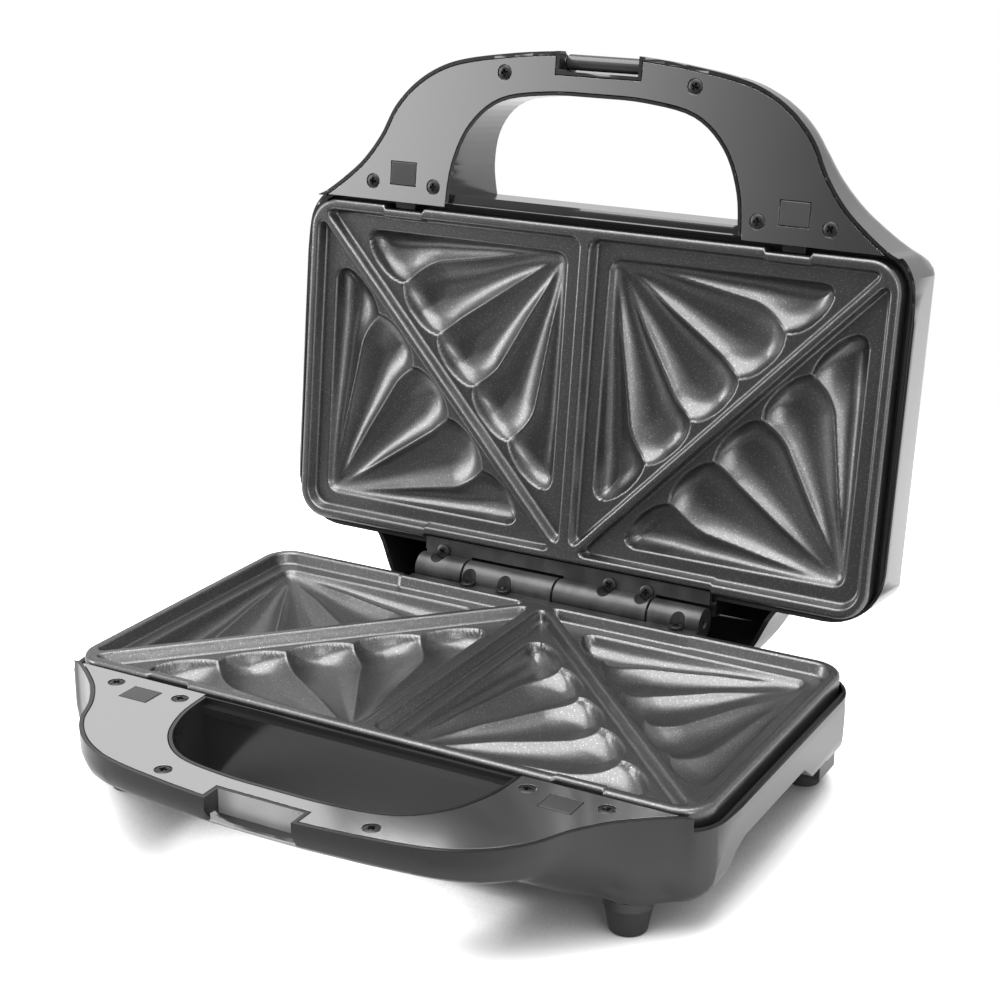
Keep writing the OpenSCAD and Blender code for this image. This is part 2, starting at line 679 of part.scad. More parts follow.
module hinge_leaf(side, axis_d) {
    difference() {
        union() {
            box([-leaf_w / 2, leaf_front_y, leaf_drop], [leaf_w / 2, leaf_rear_y, leaf_bottom]);
            for (s = knuckle_spans) {
                a = min(side * s[0], side * s[1]) + 0.5;
                b = max(side * s[0], side * s[1]) - (abs(s[1]) > middle_knuckle && side > 0 ? 0 : 0.5);
                box([a, leaf_rear_y - cut, leaf_drop], [b, hinge_y, leaf_bottom]);
                translate([a, hinge_y, axis_d]) rotate([0, 90, 0]) cylinder(r = knuckle_r, h = b - a);
            }
        }
        translate([0, hinge_y, axis_d]) rotate([0, 90, 0]) cylinder(d = hinge_pin_d + 2 * fit, h = far, center = true);
        for (x = hinge_screw_x) translate([side * x, hinge_screw_y, 0]) {
            cylinder(d = shank_d + 0.4, h = far);
            translate([0, 0, leaf_drop - far]) cylinder(r = head_d / 2 + 0.5, h = far);
        }
    }
}

module hinge_pin() color("silver") base_place() translate([0, hinge_y, hinge_drop]) rotate([0, 90, 0])
    cylinder(d = hinge_pin_d, h = leaf_w - 1, center = true);

// ---------------------------------------------------------------- release buttons and catches

// Side view of the wedge: the stem's slope pushes the catch forwards as the button goes down
module button() {
    translate([button_x, button_y, 0]) {
        box([-button_w / 2, -button_l / 2, button_top], [button_w / 2, button_l / 2, catch_top]);
        box([-button_w / 2 - button_flange, -button_l / 2 - button_flange + 0.2, catch_top],
            [button_w / 2 + button_flange, button_l / 2 + button_flange - 0.6, catch_top + 1]);
        along_x(stem_w) polygon([[-1.5, catch_top], [3.5, catch_top], [3.5, 11], [-1.5, 6]]);
    }
}

module catch() {
    translate([button_x, 0, 0]) {
        // hook over the plate's edge, and the post that carries it
        box([-stem_w / 2 - rail_gap - rail_w, catch_post_y - catch_t, catch_top],
            [stem_w / 2 + rail_gap + rail_w, catch_tip_y, catch_top + catch_t]);
        box([-stem_w / 2 - rail_gap - rail_w, catch_post_y - catch_t, catch_top],
            [stem_w / 2 + rail_gap + rail_w, catch_post_y, rail_bottom]);
        for (s = [-1, 1]) translate([s * (stem_w / 2 + rail_gap + rail_w / 2), 0, 0])
            box([-rail_w / 2, button_y - 5, rail_top], [rail_w / 2, catch_post_y, rail_bottom]);
        translate([0, button_y, 0]) along_x(stem_w + 2 * rail_gap + rail_w) polygon([[-5, rail_top],
            [-1.5 + rail_top - 6 - slide_gap, rail_top], [-1.5 + rail_bottom - 6 - slide_gap, rail_bottom],
            [-5, rail_bottom]]);
    }
}

// ---------------------------------------------------------------- latch

// Drawn hooked, around its own pin, then swung open
module latch() color("dimgray") lid_place() translate([0, latch_y, latch_axis_d]) rotate([-latch_swing, 0, 0]) {
    half = notch_half_w - 0.4;
    difference() {
        union() {
            rotate([0, 90, 0]) cylinder(d = latch_d, h = 2 * half, center = true);
            box([-half, -latch_d / 2, -latch_reach - hook_t], [half, -latch_d / 2 + latch_t, 0]);
            box([-half, -latch_d / 2, -latch_reach - hook_t], [half, -latch_d / 2 + hook_len, -latch_reach]);
        }
        rotate([0, 90, 0]) cylinder(d = latch_pin_d + 2 * fit, h = far, center = true);
    }
}

latch_pin_hold = 4;
module latch_pin() color("silver") lid_place() translate([0, latch_y, latch_axis_d]) rotate([0, 90, 0])
    cylinder(d = latch_pin_d, h = 2 * (notch_half_w + latch_pin_hold), center = true);

// ---------------------------------------------------------------- feet, gland, thermostat

module front_feet() color("gray") base_place() pair() translate([front_foot_x, front_foot_y, front_pad_d])
    cylinder(d1 = front_foot_top_d, d2 = foot_d, h = stand_h - front_pad_d);

module rear_feet() color("gray") base_place() pair() translate([rear_foot_x, rear_foot_y, leg_d])
    cylinder(d1 = foot_d + 1.5, d2 = foot_d, h = stand_h - leg_d);

// The cord enters through a bushing in the back wall
gland_x = edge_x - 15;
gland_d = base_floor - 12;
gland_body_d = cord_bore + 5;
module cord_gland() color("black") base_place() translate([gland_x, rear_y, gland_d]) rotate([-90, 0, 0]) difference() {
    union() {
        cylinder(d = gland_body_d + 4, h = 3);
        translate([0, 0, -8]) cylinder(d = gland_body_d, h = 9);
    }
    translate([0, 0, -10]) cylinder(d = cord_bore, h = 20);
}

thermostat_d = 17;
thermostat_h = 8;
thermostat_y = 10;
bracket_half_w = 15;
bracket_t = 2;
module thermostat() color("black") base_place() {
    translate([0, thermostat_y, well_d - tray_t - reflector_t - thermostat_h])
        cylinder(d = thermostat_d, h = thermostat_h);
    translate([0, thermostat_y, well_d - tray_t - reflector_t - bracket_t]) linear_extrude(height = bracket_t)
        rounded(bracket_half_w, -bracket_half_w / 3, bracket_half_w / 3, bracket_half_w / 4);
}

// ---------------------------------------------------------------- the pieces of each half

module base_frame() color("#202020") base_place() frame();
module base_reflector() color("silver") base_place() reflector();
module base_heater() color("gray") base_place() heater();
module base_heater_clips() color("silver") base_place() heater_clips();
module base_plate() color("#606060") base_place() plate();
module base_panel() color("#a0a0a0") base_place() panel();
module base_panel_screws() color("#303030") base_place() panel_screw_set();
module base_hinge_leaf() color("#505050") base_place() hinge_leaf(1, hinge_drop);
module base_hinge_screws() color("#303030") base_place() hinge_screw_set(1);
module base_button_left() color("#454545") base_place() mirror([1, 0, 0]) button();
module base_button_right() color("#454545") base_place() button();
module base_catch_left() color("#454545") base_place() mirror([1, 0, 0]) catch();
module base_catch_right() color("#454545") base_place() catch();

module lid_frame() color("#202020") lid_place() frame();
module lid_reflector() color("silver") lid_place() reflector();
module lid_heater() color("gray") lid_place() heater();
module lid_heater_clips() color("silver") lid_place() heater_clips();
module lid_plate() color("#606060") lid_place() plate();
module lid_panel() color("#a0a0a0") lid_place() panel();
module lid_panel_screws() color("#303030") lid_place() panel_screw_set();
module lid_hinge_leaf() color("#505050") lid_place() hinge_leaf(-1, -hinge_drop - seam);
module lid_hinge_screws() color("#303030") lid_place() hinge_screw_set(-1);
module lid_button_left() color("#454545") lid_place() mirror([1, 0, 0]) button();
module lid_button_right() color("#454545") lid_place() button();
module lid_catch_left() color("#454545") lid_place() mirror([1, 0, 0]) catch();
module lid_catch_right() color("#454545") lid_place() catch();

base_shell();
base_frame();
base_reflector();
base_heater();
base_heater_clips();
thermostat();
base_plate();
base_panel();
base_panel_screws();
base_hinge_leaf();
base_hinge_screws();
base_button_left();
base_button_right();
base_catch_left();
base_catch_right();
hinge_pin();
front_feet();
rear_feet();
cord_gland();
lid_shell();
lid_frame();
lid_reflector();
lid_heater();
lid_heater_clips();
lid_plate();
lid_panel();
lid_panel_screws();
lid_hinge_leaf();
lid_hinge_screws();
lid_button_left();
lid_button_right();
lid_catch_left();
lid_catch_right();
latch();
latch_pin();
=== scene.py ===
"""Looks of a sandwich toaster that stands open on a pale floor.

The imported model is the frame. This script sets the camera and the light, gives every surface its
finish, and puts detailed pieces where the frame's own meshes are too plain: the cast cooking
plates, the shells with their rounded handles, the softened panels, hinge leaves, buttons, catches,
frames, feet, gland and latch, and the screws.

Lengths are in millimetres until a mesh is placed. Half coordinates are x to the side, y from the
handle (minus) to the hinge (plus) and the third axis as depth away from the plane where the two
halves meet; a Seating turns them into the object's frame, in metres.
"""

from __future__ import annotations

import json
import logging
import math
from dataclasses import dataclass, field
from enum import Enum
from typing import Any, Callable, Iterator, Mapping, Optional, Sequence, Union

import bmesh
import bpy
import numpy as np
from mathutils import Matrix, Vector

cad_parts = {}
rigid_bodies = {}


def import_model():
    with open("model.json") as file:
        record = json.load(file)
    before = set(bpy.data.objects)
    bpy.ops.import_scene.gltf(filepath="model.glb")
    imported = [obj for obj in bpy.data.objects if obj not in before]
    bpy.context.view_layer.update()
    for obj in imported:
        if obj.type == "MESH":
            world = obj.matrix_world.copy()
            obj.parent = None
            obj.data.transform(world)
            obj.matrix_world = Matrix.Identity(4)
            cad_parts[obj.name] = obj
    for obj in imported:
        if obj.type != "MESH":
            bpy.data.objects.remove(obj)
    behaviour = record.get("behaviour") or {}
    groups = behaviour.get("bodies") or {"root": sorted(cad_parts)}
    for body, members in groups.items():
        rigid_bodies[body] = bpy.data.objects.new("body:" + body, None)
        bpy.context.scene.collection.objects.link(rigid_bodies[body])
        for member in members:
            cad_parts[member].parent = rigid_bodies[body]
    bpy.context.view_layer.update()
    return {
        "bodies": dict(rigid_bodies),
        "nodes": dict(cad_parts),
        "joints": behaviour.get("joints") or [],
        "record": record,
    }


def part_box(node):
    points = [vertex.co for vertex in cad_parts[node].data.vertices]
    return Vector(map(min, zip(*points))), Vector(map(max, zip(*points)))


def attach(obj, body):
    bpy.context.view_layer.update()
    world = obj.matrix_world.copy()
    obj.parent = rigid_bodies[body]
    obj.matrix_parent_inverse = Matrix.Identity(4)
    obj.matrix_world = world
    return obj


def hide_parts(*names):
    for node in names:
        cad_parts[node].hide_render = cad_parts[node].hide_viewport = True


LOG = logging.getLogger("toaster")
MM = 0.001
MERGE = 2e-6
NOISE_MIDDLE = 0.5

Number = Union[int, float]
Triple = tuple[float, float, float]


class Half(Enum):
    """The two halves of the object, which are also the names of their bodies."""

    BASE = "base"
    LID = "lid"

    @classmethod
    def of(cls, node: str) -> "Half":
        """The half that a node's name starts with."""
        return cls(node.split("_")[0])


# ------------------------------------------------------------------------------ node trees


def operator(operation: str, reflected: bool = False) -> Callable[["Wire", "Signal"], "Wire"]:
    """Makes an operator of wires that adds a Math node.

    Args:
        operation: what the node does.
        reflected: puts the wire second, after a number.

    Returns:
        The operator, as a method.
    """
    def method(wire: "Wire", other: "Signal") -> "Wire":
        """Adds the node."""
        operands = (other, wire) if reflected else (wire, other)
        return wire.tree.node("ShaderNodeMath", {"operation": operation}, dict(enumerate(operands)))

    return method


class Wire:
    """An output socket of a node tree that can be used in Python expressions."""

    def __init__(self, tree: "Tree", socket: bpy.types.NodeSocket) -> None:
        """Keeps the tree and the socket.

        Args:
            tree: the tree that the socket belongs to.
            socket: the output socket.
        """
        self.tree = tree
        self.socket = socket

    __add__ = operator("ADD")
    __radd__ = operator("ADD", reflected=True)
    __sub__ = operator("SUBTRACT")
    __rsub__ = operator("SUBTRACT", reflected=True)
    __mul__ = operator("MULTIPLY")
    __rmul__ = operator("MULTIPLY", reflected=True)
    __truediv__ = operator("DIVIDE")
    __lt__ = operator("LESS_THAN")
    __gt__ = operator("GREATER_THAN")

    def eased(self, low: Number, high: Number) -> "Wire":
        """Smooth step from 0 at low to 1 at high.

        Args:
            low: value that gives 0.
            high: value that gives 1.

        Returns:
            The eased value.
        """
        values = {0: self, 1: low, 2: high, 3: 0.0, 4: 1.0}
        return self.tree.node("ShaderNodeMapRange", {"interpolation_type": "SMOOTHSTEP"}, values)


Signal = Union[Wire, Number]


class Tree:
    """A node tree, with a short way to add and connect its nodes."""

    def __init__(self, tree: bpy.types.NodeTree) -> None:
        """Empties the tree.

        Args:
            tree: the tree of a material, of the surroundings or of a geometry recipe.
        """
        self.tree = tree
        self.tree.nodes.clear()

    def node(self, kind: str, settings: Optional[Mapping[str, Any]] = None,
             inputs: Optional[Mapping[Union[str, int], Any]] = None,
             output: Union[str, int] = 0) -> Wire:
        """Adds a node, sets it and connects it.

        Args:
            kind: the node's type.
            settings: its own properties.
            inputs: values, colours or wires for its sockets; a list joins several wires.
            output: the socket to return.

        Returns:
            The chosen output socket.
        """
        made = self.tree.nodes.new(kind)
        for key, value in (settings or {}).items():
            setattr(made, key, value)
        for key, value in (inputs or {}).items():
            if isinstance(value, Wire):
                self.tree.links.new(value.socket, made.inputs[key])
            elif isinstance(value, list):
                for wire in value:
                    self.tree.links.new(wire.socket, made.inputs[key])
            else:
                made.inputs[key].default_value = value
        return Wire(self, made.outputs[output])

    def parts(self, vector: Wire) -> tuple[Wire, ...]:
        """Splits a vector into its x, y and z."""
        return tuple(self.node("ShaderNodeSeparateXYZ", None, {0: vector}, axis) for axis in "XYZ")


class Web(Tree):
    """The tree of a material or of the surroundings, with helpers that keep shader code short."""

    def __init__(self, name: str, surroundings: bool = False) -> None:
        """Makes an empty tree.

        Args:
            name: name of the material or world.
            surroundings: makes a world instead of a material.
        """
        self.surroundings = surroundings
        self.owner = bpy.data.worlds.new(name) if surroundings else bpy.data.materials.new(name)
        self.owner.use_nodes = True
        super().__init__(self.owner.node_tree)

    def place(self) -> Wire:
        """Object coordinates, in metres."""
        return self.node("ShaderNodeTexCoord", output="Object")

    def noise(self, per_mm: float, detail: float = 2.0, roughness: float = 0.5) -> Wire:
        """Noise over the surface.

        Args:
            per_mm: how many lumps there are to a millimetre.
            detail: number of finer layers.
            roughness: strength of the finer layers.

        Returns:
            A value round 0.5.
        """
        values = {"Vector": self.place(), "Scale": per_mm / MM, "Detail": detail,
                  "Roughness": roughness}
        return self.node("ShaderNodeTexNoise", None, values)

    def specks(self, per_mm: float) -> Wire:
        """Distance to the nearest of many scattered points, in cells.

        Args:
            per_mm: how many points there are to a millimetre.

        Returns:
            The distance, 0 on a point.
        """
        return self.node("ShaderNodeTexVoronoi", None, {"Vector": self.place(), "Scale": per_mm / MM})

    def mixed(self, factor: Signal, first: Sequence[float], second: Sequence[float]) -> Wire:
        """Mixes two colours.

        Args:
            factor: 0 gives the first colour and 1 the second.
            first: colour at 0.
            second: colour at 1.

        Returns:
            The mixed colour.
        """
        colours = {0: factor, 6: (*first, 1.0), 7: (*second, 1.0)}
        return self.node("ShaderNodeMix", {"data_type": "RGBA"}, colours, output=2)

    def bumped(self, height: Signal, depth_mm: float) -> Wire:
        """Bump that raises the surface by a height.

        Args:
            height: the height, from 0 to 1.
            depth_mm: what a height of 1 stands for.

        Returns:
            The normal.
        """
        values = {"Height": height, "Distance": depth_mm * MM, "Strength": 1.0}
        return self.node("ShaderNodeBump", None, values)

    def diffuse(self, colour: Union[Wire, Sequence[float]]) -> Wire:
        """A matt shader."""
        return self.node("ShaderNodeBsdfDiffuse", None, {"Color": colour}, "BSDF")

    def glow(self, strength: float) -> Wire:
        """A shader that gives off white light."""
        return self.node("ShaderNodeEmission", None, {"Strength": strength}, "Emission")

    def ray(self, kind: str) -> Wire:
        """1 for rays of a kind, else 0."""
        return self.node("ShaderNodeLightPath", output=f"Is {kind} Ray")

    def blend(self, factor: Signal, first: Wire, second: Wire) -> Wire:
        """Mixes two shaders; a factor of 1 shows the second."""
        return self.node("ShaderNodeMixShader", None, {0: factor, 1: first, 2: second})

    def close(self, **sockets: Any) -> bpy.types.Material:
        """Ends the tree in a Principled shader.

        Args:
            sockets: values for its sockets, with underscores for spaces.

        Returns:
            The finished material.
        """
        values = {name.replace("_", " "): value for name, value in sockets.items()}
        return self.finished(self.node("ShaderNodeBsdfPrincipled", None, values, output="BSDF"))

    def finished(self, shader: Wire) -> Union[bpy.types.Material, bpy.types.World]:
        """Connects a shader to the tree's output.

        Args:
            shader: the last shader.

        Returns:
            The material or world.
        """
        kind = "World" if self.surroundings else "Material"
        output = self.tree.nodes.new(f"ShaderNodeOutput{kind}")
        self.tree.links.new(shader.socket, output.inputs["Surface"])
        return self.owner


class Recipe(Tree):
    """A geometry tree with named sizes that turns points into finished pieces."""

    def __init__(self, name: str, sizes: Mapping[str, float]) -> None:
        """Makes an empty recipe.

        Args:
            name: name of the recipe.
            sizes: its named inputs with their values, in metres.
        """
        group = bpy.data.node_groups.new(name, "GeometryNodeTree")
        super().__init__(group)
        self.sizes = dict(sizes)
        group.interface.new_socket("Geometry", in_out="INPUT", socket_type="NodeSocketGeometry")
        for label in self.sizes:
            group.interface.new_socket(label, in_out="INPUT", socket_type="NodeSocketFloat")
        group.interface.new_socket("Geometry", in_out="OUTPUT", socket_type="NodeSocketGeometry")
        self.entry = group.nodes.new("NodeGroupInput")

    def size(self, label: str) -> Wire:
        """The named input; Geometry gives the points."""
        return Wire(self, self.entry.outputs[label])

    def vector(self, x: Signal, y: Signal, z: Signal) -> Wire:
        """A vector of three signals."""
        return self.node("ShaderNodeCombineXYZ", None, {0: x, 1: y, 2: z})

    def raised(self, geometry: Wire, z: Signal) -> Wire:
        """Moves a geometry along z."""
        values = {"Geometry": geometry, "Translation": self.vector(0.0, 0.0, z)}
        return self.node("GeometryNodeTransform", None, values)

    def bent(self, geometry: Wire, x: Signal, y: Signal, z: Signal) -> Wire:
        """Moves each point of a geometry by its own offset."""
        values = {"Geometry": geometry, "Offset": self.vector(x, y, z)}
        return self.node("GeometryNodeSetPosition", None, values)

    def tilt_of(self, seating: "Seating", half: Half) -> Wire:
        """The rotation that turns upright pieces to stand out of a half.

        Args:
            seating: where the halves sit.
            half: the half.

        Returns:
            The rotation.
        """
        outwards = -(seating.matrix(half).to_3x3() @ Vector((0, 0, 1)))
        turn = outwards.normalized().to_track_quat("Z", "Y").to_euler()
        return self.node("FunctionNodeEulerToRotation", None, {0: tuple(turn)})

    def finish(self, geometry: Wire, material: bpy.types.Material) -> None:
        """Ends the recipe in plain geometry with its material.

        Args:
            geometry: the last geometry.
            material: its material.
        """
        plain = self.node("GeometryNodeRealizeInstances", None, {0: geometry})
        values = {"Geometry": plain, "Material": material}
        dressed = self.node("GeometryNodeSetMaterial", None, values)
        leave = self.tree.nodes.new("NodeGroupOutput")
        self.tree.links.new(dressed.socket, leave.inputs[0])

    def bake(self, name: str, points: np.ndarray) -> bpy.types.Mesh:
        """Runs the recipe on points.

        Args:
            name: name of the mesh.
            points: the points, in metres.

        Returns:
            The plain mesh.
        """
        seed = bpy.data.meshes.new(f"{name}_points")
        seed.from_pydata(points.tolist(), [], [])
        temporary = set_out(f"{name}_work", seed)
        modifier = temporary.modifiers.new("recipe", "NODES")
        modifier.node_group = self.tree
        for item in self.tree.interface.items_tree:
            if item.in_out == "INPUT" and item.name in self.sizes:
                modifier[item.identifier] = float(self.sizes[item.name])
        return baked(temporary, name)


def set_out(name: str, data: bpy.types.ID) -> bpy.types.Object:
    """Puts a new object into the scene.

    Args:
        name: its name.
        data: its mesh, camera or lamp.

    Returns:
        The object.
    """
    made = bpy.data.objects.new(name, data)
    bpy.context.scene.collection.objects.link(made)
    return made


def baked(temporary: bpy.types.Object, name: str) -> bpy.types.Mesh:
    """Takes what an object's modifiers make as a plain mesh, and removes the object.

    Args:
        temporary: the object.
        name: name of the mesh.

    Returns:
        The mesh.
    """
    evaluated = temporary.evaluated_get(bpy.context.evaluated_depsgraph_get())
    mesh = bpy.data.meshes.new_from_object(evaluated)
    mesh.name = name
    temporary.modifiers.clear()
    bpy.data.objects.remove(temporary)
    return mesh


def grey(level: float) -> Triple:
    """A neutral colour.

    Args:
        level: its linear brightness.

    Returns:
        The colour.
    """
    return (level, level, level)


# ------------------------------------------------------------------------------ finishes


@dataclass(frozen=True)
class Finish:
    """A finish of one tone, with slow clouds in its shade and gloss and fine grain in its surface.

    Clouds and grain are lumps to a millimetre, finer layers and the strength of the layers. The
    shades are shares of the tone. The swings say how far clouds and grain move the roughness.
    """

    name: str
    tone: float
    metallic: float
    roughness: float
    grain_mm: float = 0.01
    grain: tuple[float, ...] = (2.0, 3.0)
    clouds: tuple[float, ...] = (0.08, 2.0)
    shades: tuple[float, float] = (0.85, 1.15)
    swings: tuple[float, ...] = (0.1, 0.08)
    coat: tuple[float, float] = (0.0, 0.03)

    def colour(self, web: Web, cloud: Wire, grain: Wire) -> Wire:
        """Mixes the darker and the lighter shade.

        Args:
            web: the material's tree.
            cloud: the clouds, which decide the shade.
            grain: the grain.

        Returns:
            The colour.
        """
        return web.mixed(cloud, *(grey(self.tone * share) for share in self.shades))

    def make(self) -> bpy.types.Material:
        """Builds the material.

        Returns:
            The material.
        """
        web = Web(self.name)
        cloud, grain = web.noise(*self.clouds), web.noise(*self.grain)
        rough: Signal = self.roughness
        for noise, swing in zip((cloud, grain), self.swings):
            rough = rough + (noise - NOISE_MIDDLE) * swing
        coat, coat_roughness = self.coat
        return web.close(Base_Color=self.colour(web, cloud, grain), Metallic=self.metallic, Roughness=rough,
                         Normal=web.bumped(grain, self.grain_mm), Coat_Weight=coat,
                         Coat_Roughness=coat_roughness)


@dataclass(frozen=True)
class PolishedMoulding(Finish):
    """Glossy dark grey moulding with faint flow marks under a thin clear coat."""

    name: str = "polished_moulding"
    tone: float = 0.072
    metallic: float = 0.85
    roughness: float = 0.17
    grain_mm: float = 0.003
    grain: tuple[float, ...] = (1.4, 2.0)
    clouds: tuple[float, ...] = (0.02, 3.0)
    shades: tuple[float, float] = (0.88, 1.12)
    swings: tuple[float, ...] = (0.08, 0.03)
    coat: tuple[float, float] = (0.1, 0.08)


@dataclass(frozen=True)
class SilverPanel(Finish):
    """Silver lacquer on the handle panels: fine metal flake under a satin clear coat."""

    name: str = "silver_panel"
    tone: float = 0.6
    metallic: float = 1.0
    roughness: float = 0.13
    grain_mm: float = 0.001
    grain: tuple[float, ...] = (4.0, 1.0)
    clouds: tuple[float, ...] = (0.03, 2.0)
    shades: tuple[float, float] = (0.94, 1.06)
    swings: tuple[float, ...] = (0.06,)
    coat: tuple[float, float] = (0.1, 0.1)

    def colour(self, web: Web, cloud: Wire, grain: Wire) -> Wire:
        """Mixes the shades by the flake instead of the clouds."""
        return super().colour(web, grain, cloud)


@dataclass(frozen=True)
class SpeckledCoating(Finish):
    """Dark non-stick coating with light specks and a slightly pebbled satin surface.

    Fine and coarse specks each have their number to a millimetre, the distances between which they
    fade, and their strength.
    """

    name: str = "speckled_coating"
    tone: float = 0.145
    metallic: float = 0.92
    roughness: float = 0.31
    grain_mm: float = 0.016
    grain: tuple[float, ...] = (2.2, 3.0, 0.6)
    clouds: tuple[float, ...] = (0.05, 3.0)
    speck_tone: float = 0.5
    specks: tuple[tuple[float, ...], ...] = ((1.1, 0.14, 0.34, 0.3), (0.55, 0.06, 0.17, 0.45))

    def colour(self, web: Web, cloud: Wire, grain: Wire) -> Wire:
        """Lays the specks over the dark coating.

        Args:
            web: the material's tree.
            cloud: the clouds, which leave the colour as it is.
            grain: the grain, which does the same.

        Returns:
            The colour.
        """
        fine, coarse = ((1.0 - web.specks(per_mm).eased(low, high)) * strength
                        for per_mm, low, high, strength in self.specks)
        return web.mixed(fine + coarse, grey(self.tone), grey(self.speck_tone))


@dataclass(frozen=True)
class SatinCasting(Finish):
    """Dark satin casting of the hinge leaves, with a fine grain and rubbed high spots."""

    name: str = "satin_casting"
    tone: float = 0.075
    metallic: float = 0.7
    roughness: float = 0.36
    grain_mm: float = 0.03
    grain: tuple[float, ...] = (1.6, 4.0, 0.65)
    clouds: tuple[float, ...] = (0.09, 3.0)
    shades: tuple[float, float] = (0.8, 1.35)
    swings: tuple[float, ...] = (0.2,)
    rubbed: tuple[float, float] = (0.35, 0.7)

    def colour(self, web: Web, cloud: Wire, grain: Wire) -> Wire:
        """Mixes the shades with sharper borders, as rubbing leaves them."""
        return super().colour(web, cloud.eased(*self.rubbed), grain)


class Finishes:
    """All the materials, made once and looked up by the record's slot names."""

    def __init__(self) -> None:
        """Builds every material."""
        makers = {
            "shell": PolishedMoulding(),
            "panel": SilverPanel(),
            "coating": SpeckledCoating(),
            "hinge": SatinCasting(),
            "tray": Finish("black_tray", 0.012, 0.2, 0.45),
            "sheet": Finish("rolled_sheet", 0.55, 1.0, 0.3),
            "rod": Finish("heating_rod", 0.16, 0.8, 0.5, 0.02),
            "screw": Finish("black_screw", 0.06, 0.9, 0.36),
            "pin": Finish("drawn_pin", 0.6, 1.0, 0.22),
            "button": Finish("button_moulding", 0.05, 0.2, 0.35, 0.015),
            "latch": PolishedMoulding("latch_moulding", 0.08, 0.6, 0.2),
            # painted reflection: a much lighter copy of the shell's moulding for the notch's back wall,
            # standing in for the bright surroundings that this glossy wall reflects
            "notch": Finish("notch_painted_reflection", 0.45, 0.6, 0.3),
            "foot": Finish("foot_rubber", 0.018, 0.0, 0.55, 0.02),
            "gland": Finish("gland_rubber", 0.015, 0.0, 0.6, 0.02),
        }
        self._made = {slot: maker.make() for slot, maker in makers.items()}

    def __getitem__(self, slot: str) -> bpy.types.Material:
        """The material of a slot."""
        return self._made[slot]


# ------------------------------------------------------------------------------ places and meshes


@dataclass(frozen=True)
class Seating:
    """Where the two halves sit in the object's frame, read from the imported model."""

    shift_y: float
    stand: float
    hinge_y: float
    hinge_drop: float
    open_angle: float
    seam: float = 0.2

    @classmethod
    def from_frame(cls, frame: Mapping[str, Any], plate_depth: float) -> "Seating":
        """Works the seating out from the base's plate and the lid's hinge.

        Args:
            plate_depth: depth of a cooking plate, front to back.

        Returns:
            The seating.
        """
        low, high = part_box("base_plate")
        hinge = next(joint for joint in frame["joints"] if joint["name"] == "lid_hinge")
        shift = low[1] / MM + plate_depth / 2
        stand = high[2] / MM
        return cls(shift, stand, hinge["pos_m"][1] / MM - shift, stand - hinge["pos_m"][2] / MM,
                   hinge["range_deg"][1])

    def matrix(self, half: Half) -> Matrix:
        """The change from half coordinates in millimetres to the object's frame in metres.

        Args:
            half: the base or the lid.

        Returns:
            The matrix.
        """
        scale = Matrix.Scale(MM, 4)
        if half is Half.BASE:
            lift = Matrix.Translation((0, self.shift_y, self.stand))
            return scale @ lift @ Matrix.Diagonal((1, 1, -1, 1))
        turn = Matrix.Rotation(math.radians(-self.open_angle), 4, "X")
        axis = Matrix.Translation((0, self.hinge_y + self.shift_y, self.stand - self.hinge_drop))
        back = Matrix.Translation((0, -self.hinge_y, self.hinge_drop + self.seam))
        return scale @ axis @ turn @ back


@dataclass
class Workshop:
    """What every sub-assembly needs to add its pieces to the scene."""

    frame: Mapping[str, Any]
    seating: Seating
    finishes: Finishes

    def add(self, name: str, mesh: bpy.types.Mesh, slot: str, body: str,
            replaces: Sequence[str] = ()) -> bpy.types.Object:
        """Adds a finished mesh as a piece of a body.

        Args:
            name: name of the piece.
            mesh: the mesh, already in the object's frame.
            slot: the record's slot that it takes its finish from.
            body: the body that it rides on.
            replaces: nodes that it stands for.

        Returns:
            The new object.
        """
        piece = set_out(name, mesh)
        mesh.materials.clear()
        mesh.materials.append(self.finishes[slot])
        if replaces:
            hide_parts(*replaces)
        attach(piece, body)
        LOG.info("%s: %d faces on %s", name, len(mesh.polygons), body)
        return piece

    def body_of(self, node: str) -> str:
        """The body that a node belongs to."""
        bodies = self.frame["record"]["behaviour"]["bodies"]
        return next(body for body, nodes in bodies.items() if node in nodes)

    def slot_of(self, node: str) -> str:
        """The record's slot of a node."""
        subparts = self.frame["record"]["subparts"]
        return next(part["material_slot"] for part in subparts if part["node"] == node)


def placed_mesh(name: str, points: np.ndarray, faces: Sequence[Sequence[int]],
                matrix: Matrix) -> bpy.types.Mesh:
    """Makes a mesh from points in half coordinates, with its faces outwards after placing.

    Args:
        name: name of the mesh.
        points: the points, in millimetres.
        faces: the corners of each face.
        matrix: the change to the object's frame.

    Returns:
        The mesh.
    """
    turn = np.array(matrix)
    moved = points @ turn[:3, :3].T + turn[:3, 3]
    mesh = bpy.data.meshes.new(name)
    mesh.from_pydata(moved.tolist(), [], [tuple(face) for face in faces])
    if matrix.determinant() < 0:
        mesh.flip_normals()
    mesh.update()
    return mesh


def merged_copy(node: bpy.types.Object) -> bmesh.types.BMesh:
    """Copies a node's mesh and joins the points that its faces share.

    Args:
        node: the node.

    Returns:
        The copy.
    """
    work = bmesh.new()
    work.from_mesh(node.data)
    bmesh.ops.remove_doubles(work, verts=work.verts, dist=MERGE)
    return work


def shade_by_angle(mesh: bpy.types.Mesh, degrees: float) -> None:
    """Smooth shading with sharp edges where faces turn by more than an angle.

    Args:
        mesh: the mesh.
        degrees: the angle.
    """
    mesh.shade_smooth()
    mesh.set_sharp_from_angle(angle=math.radians(degrees))


# ------------------------------------------------------------------------------ cooking plates


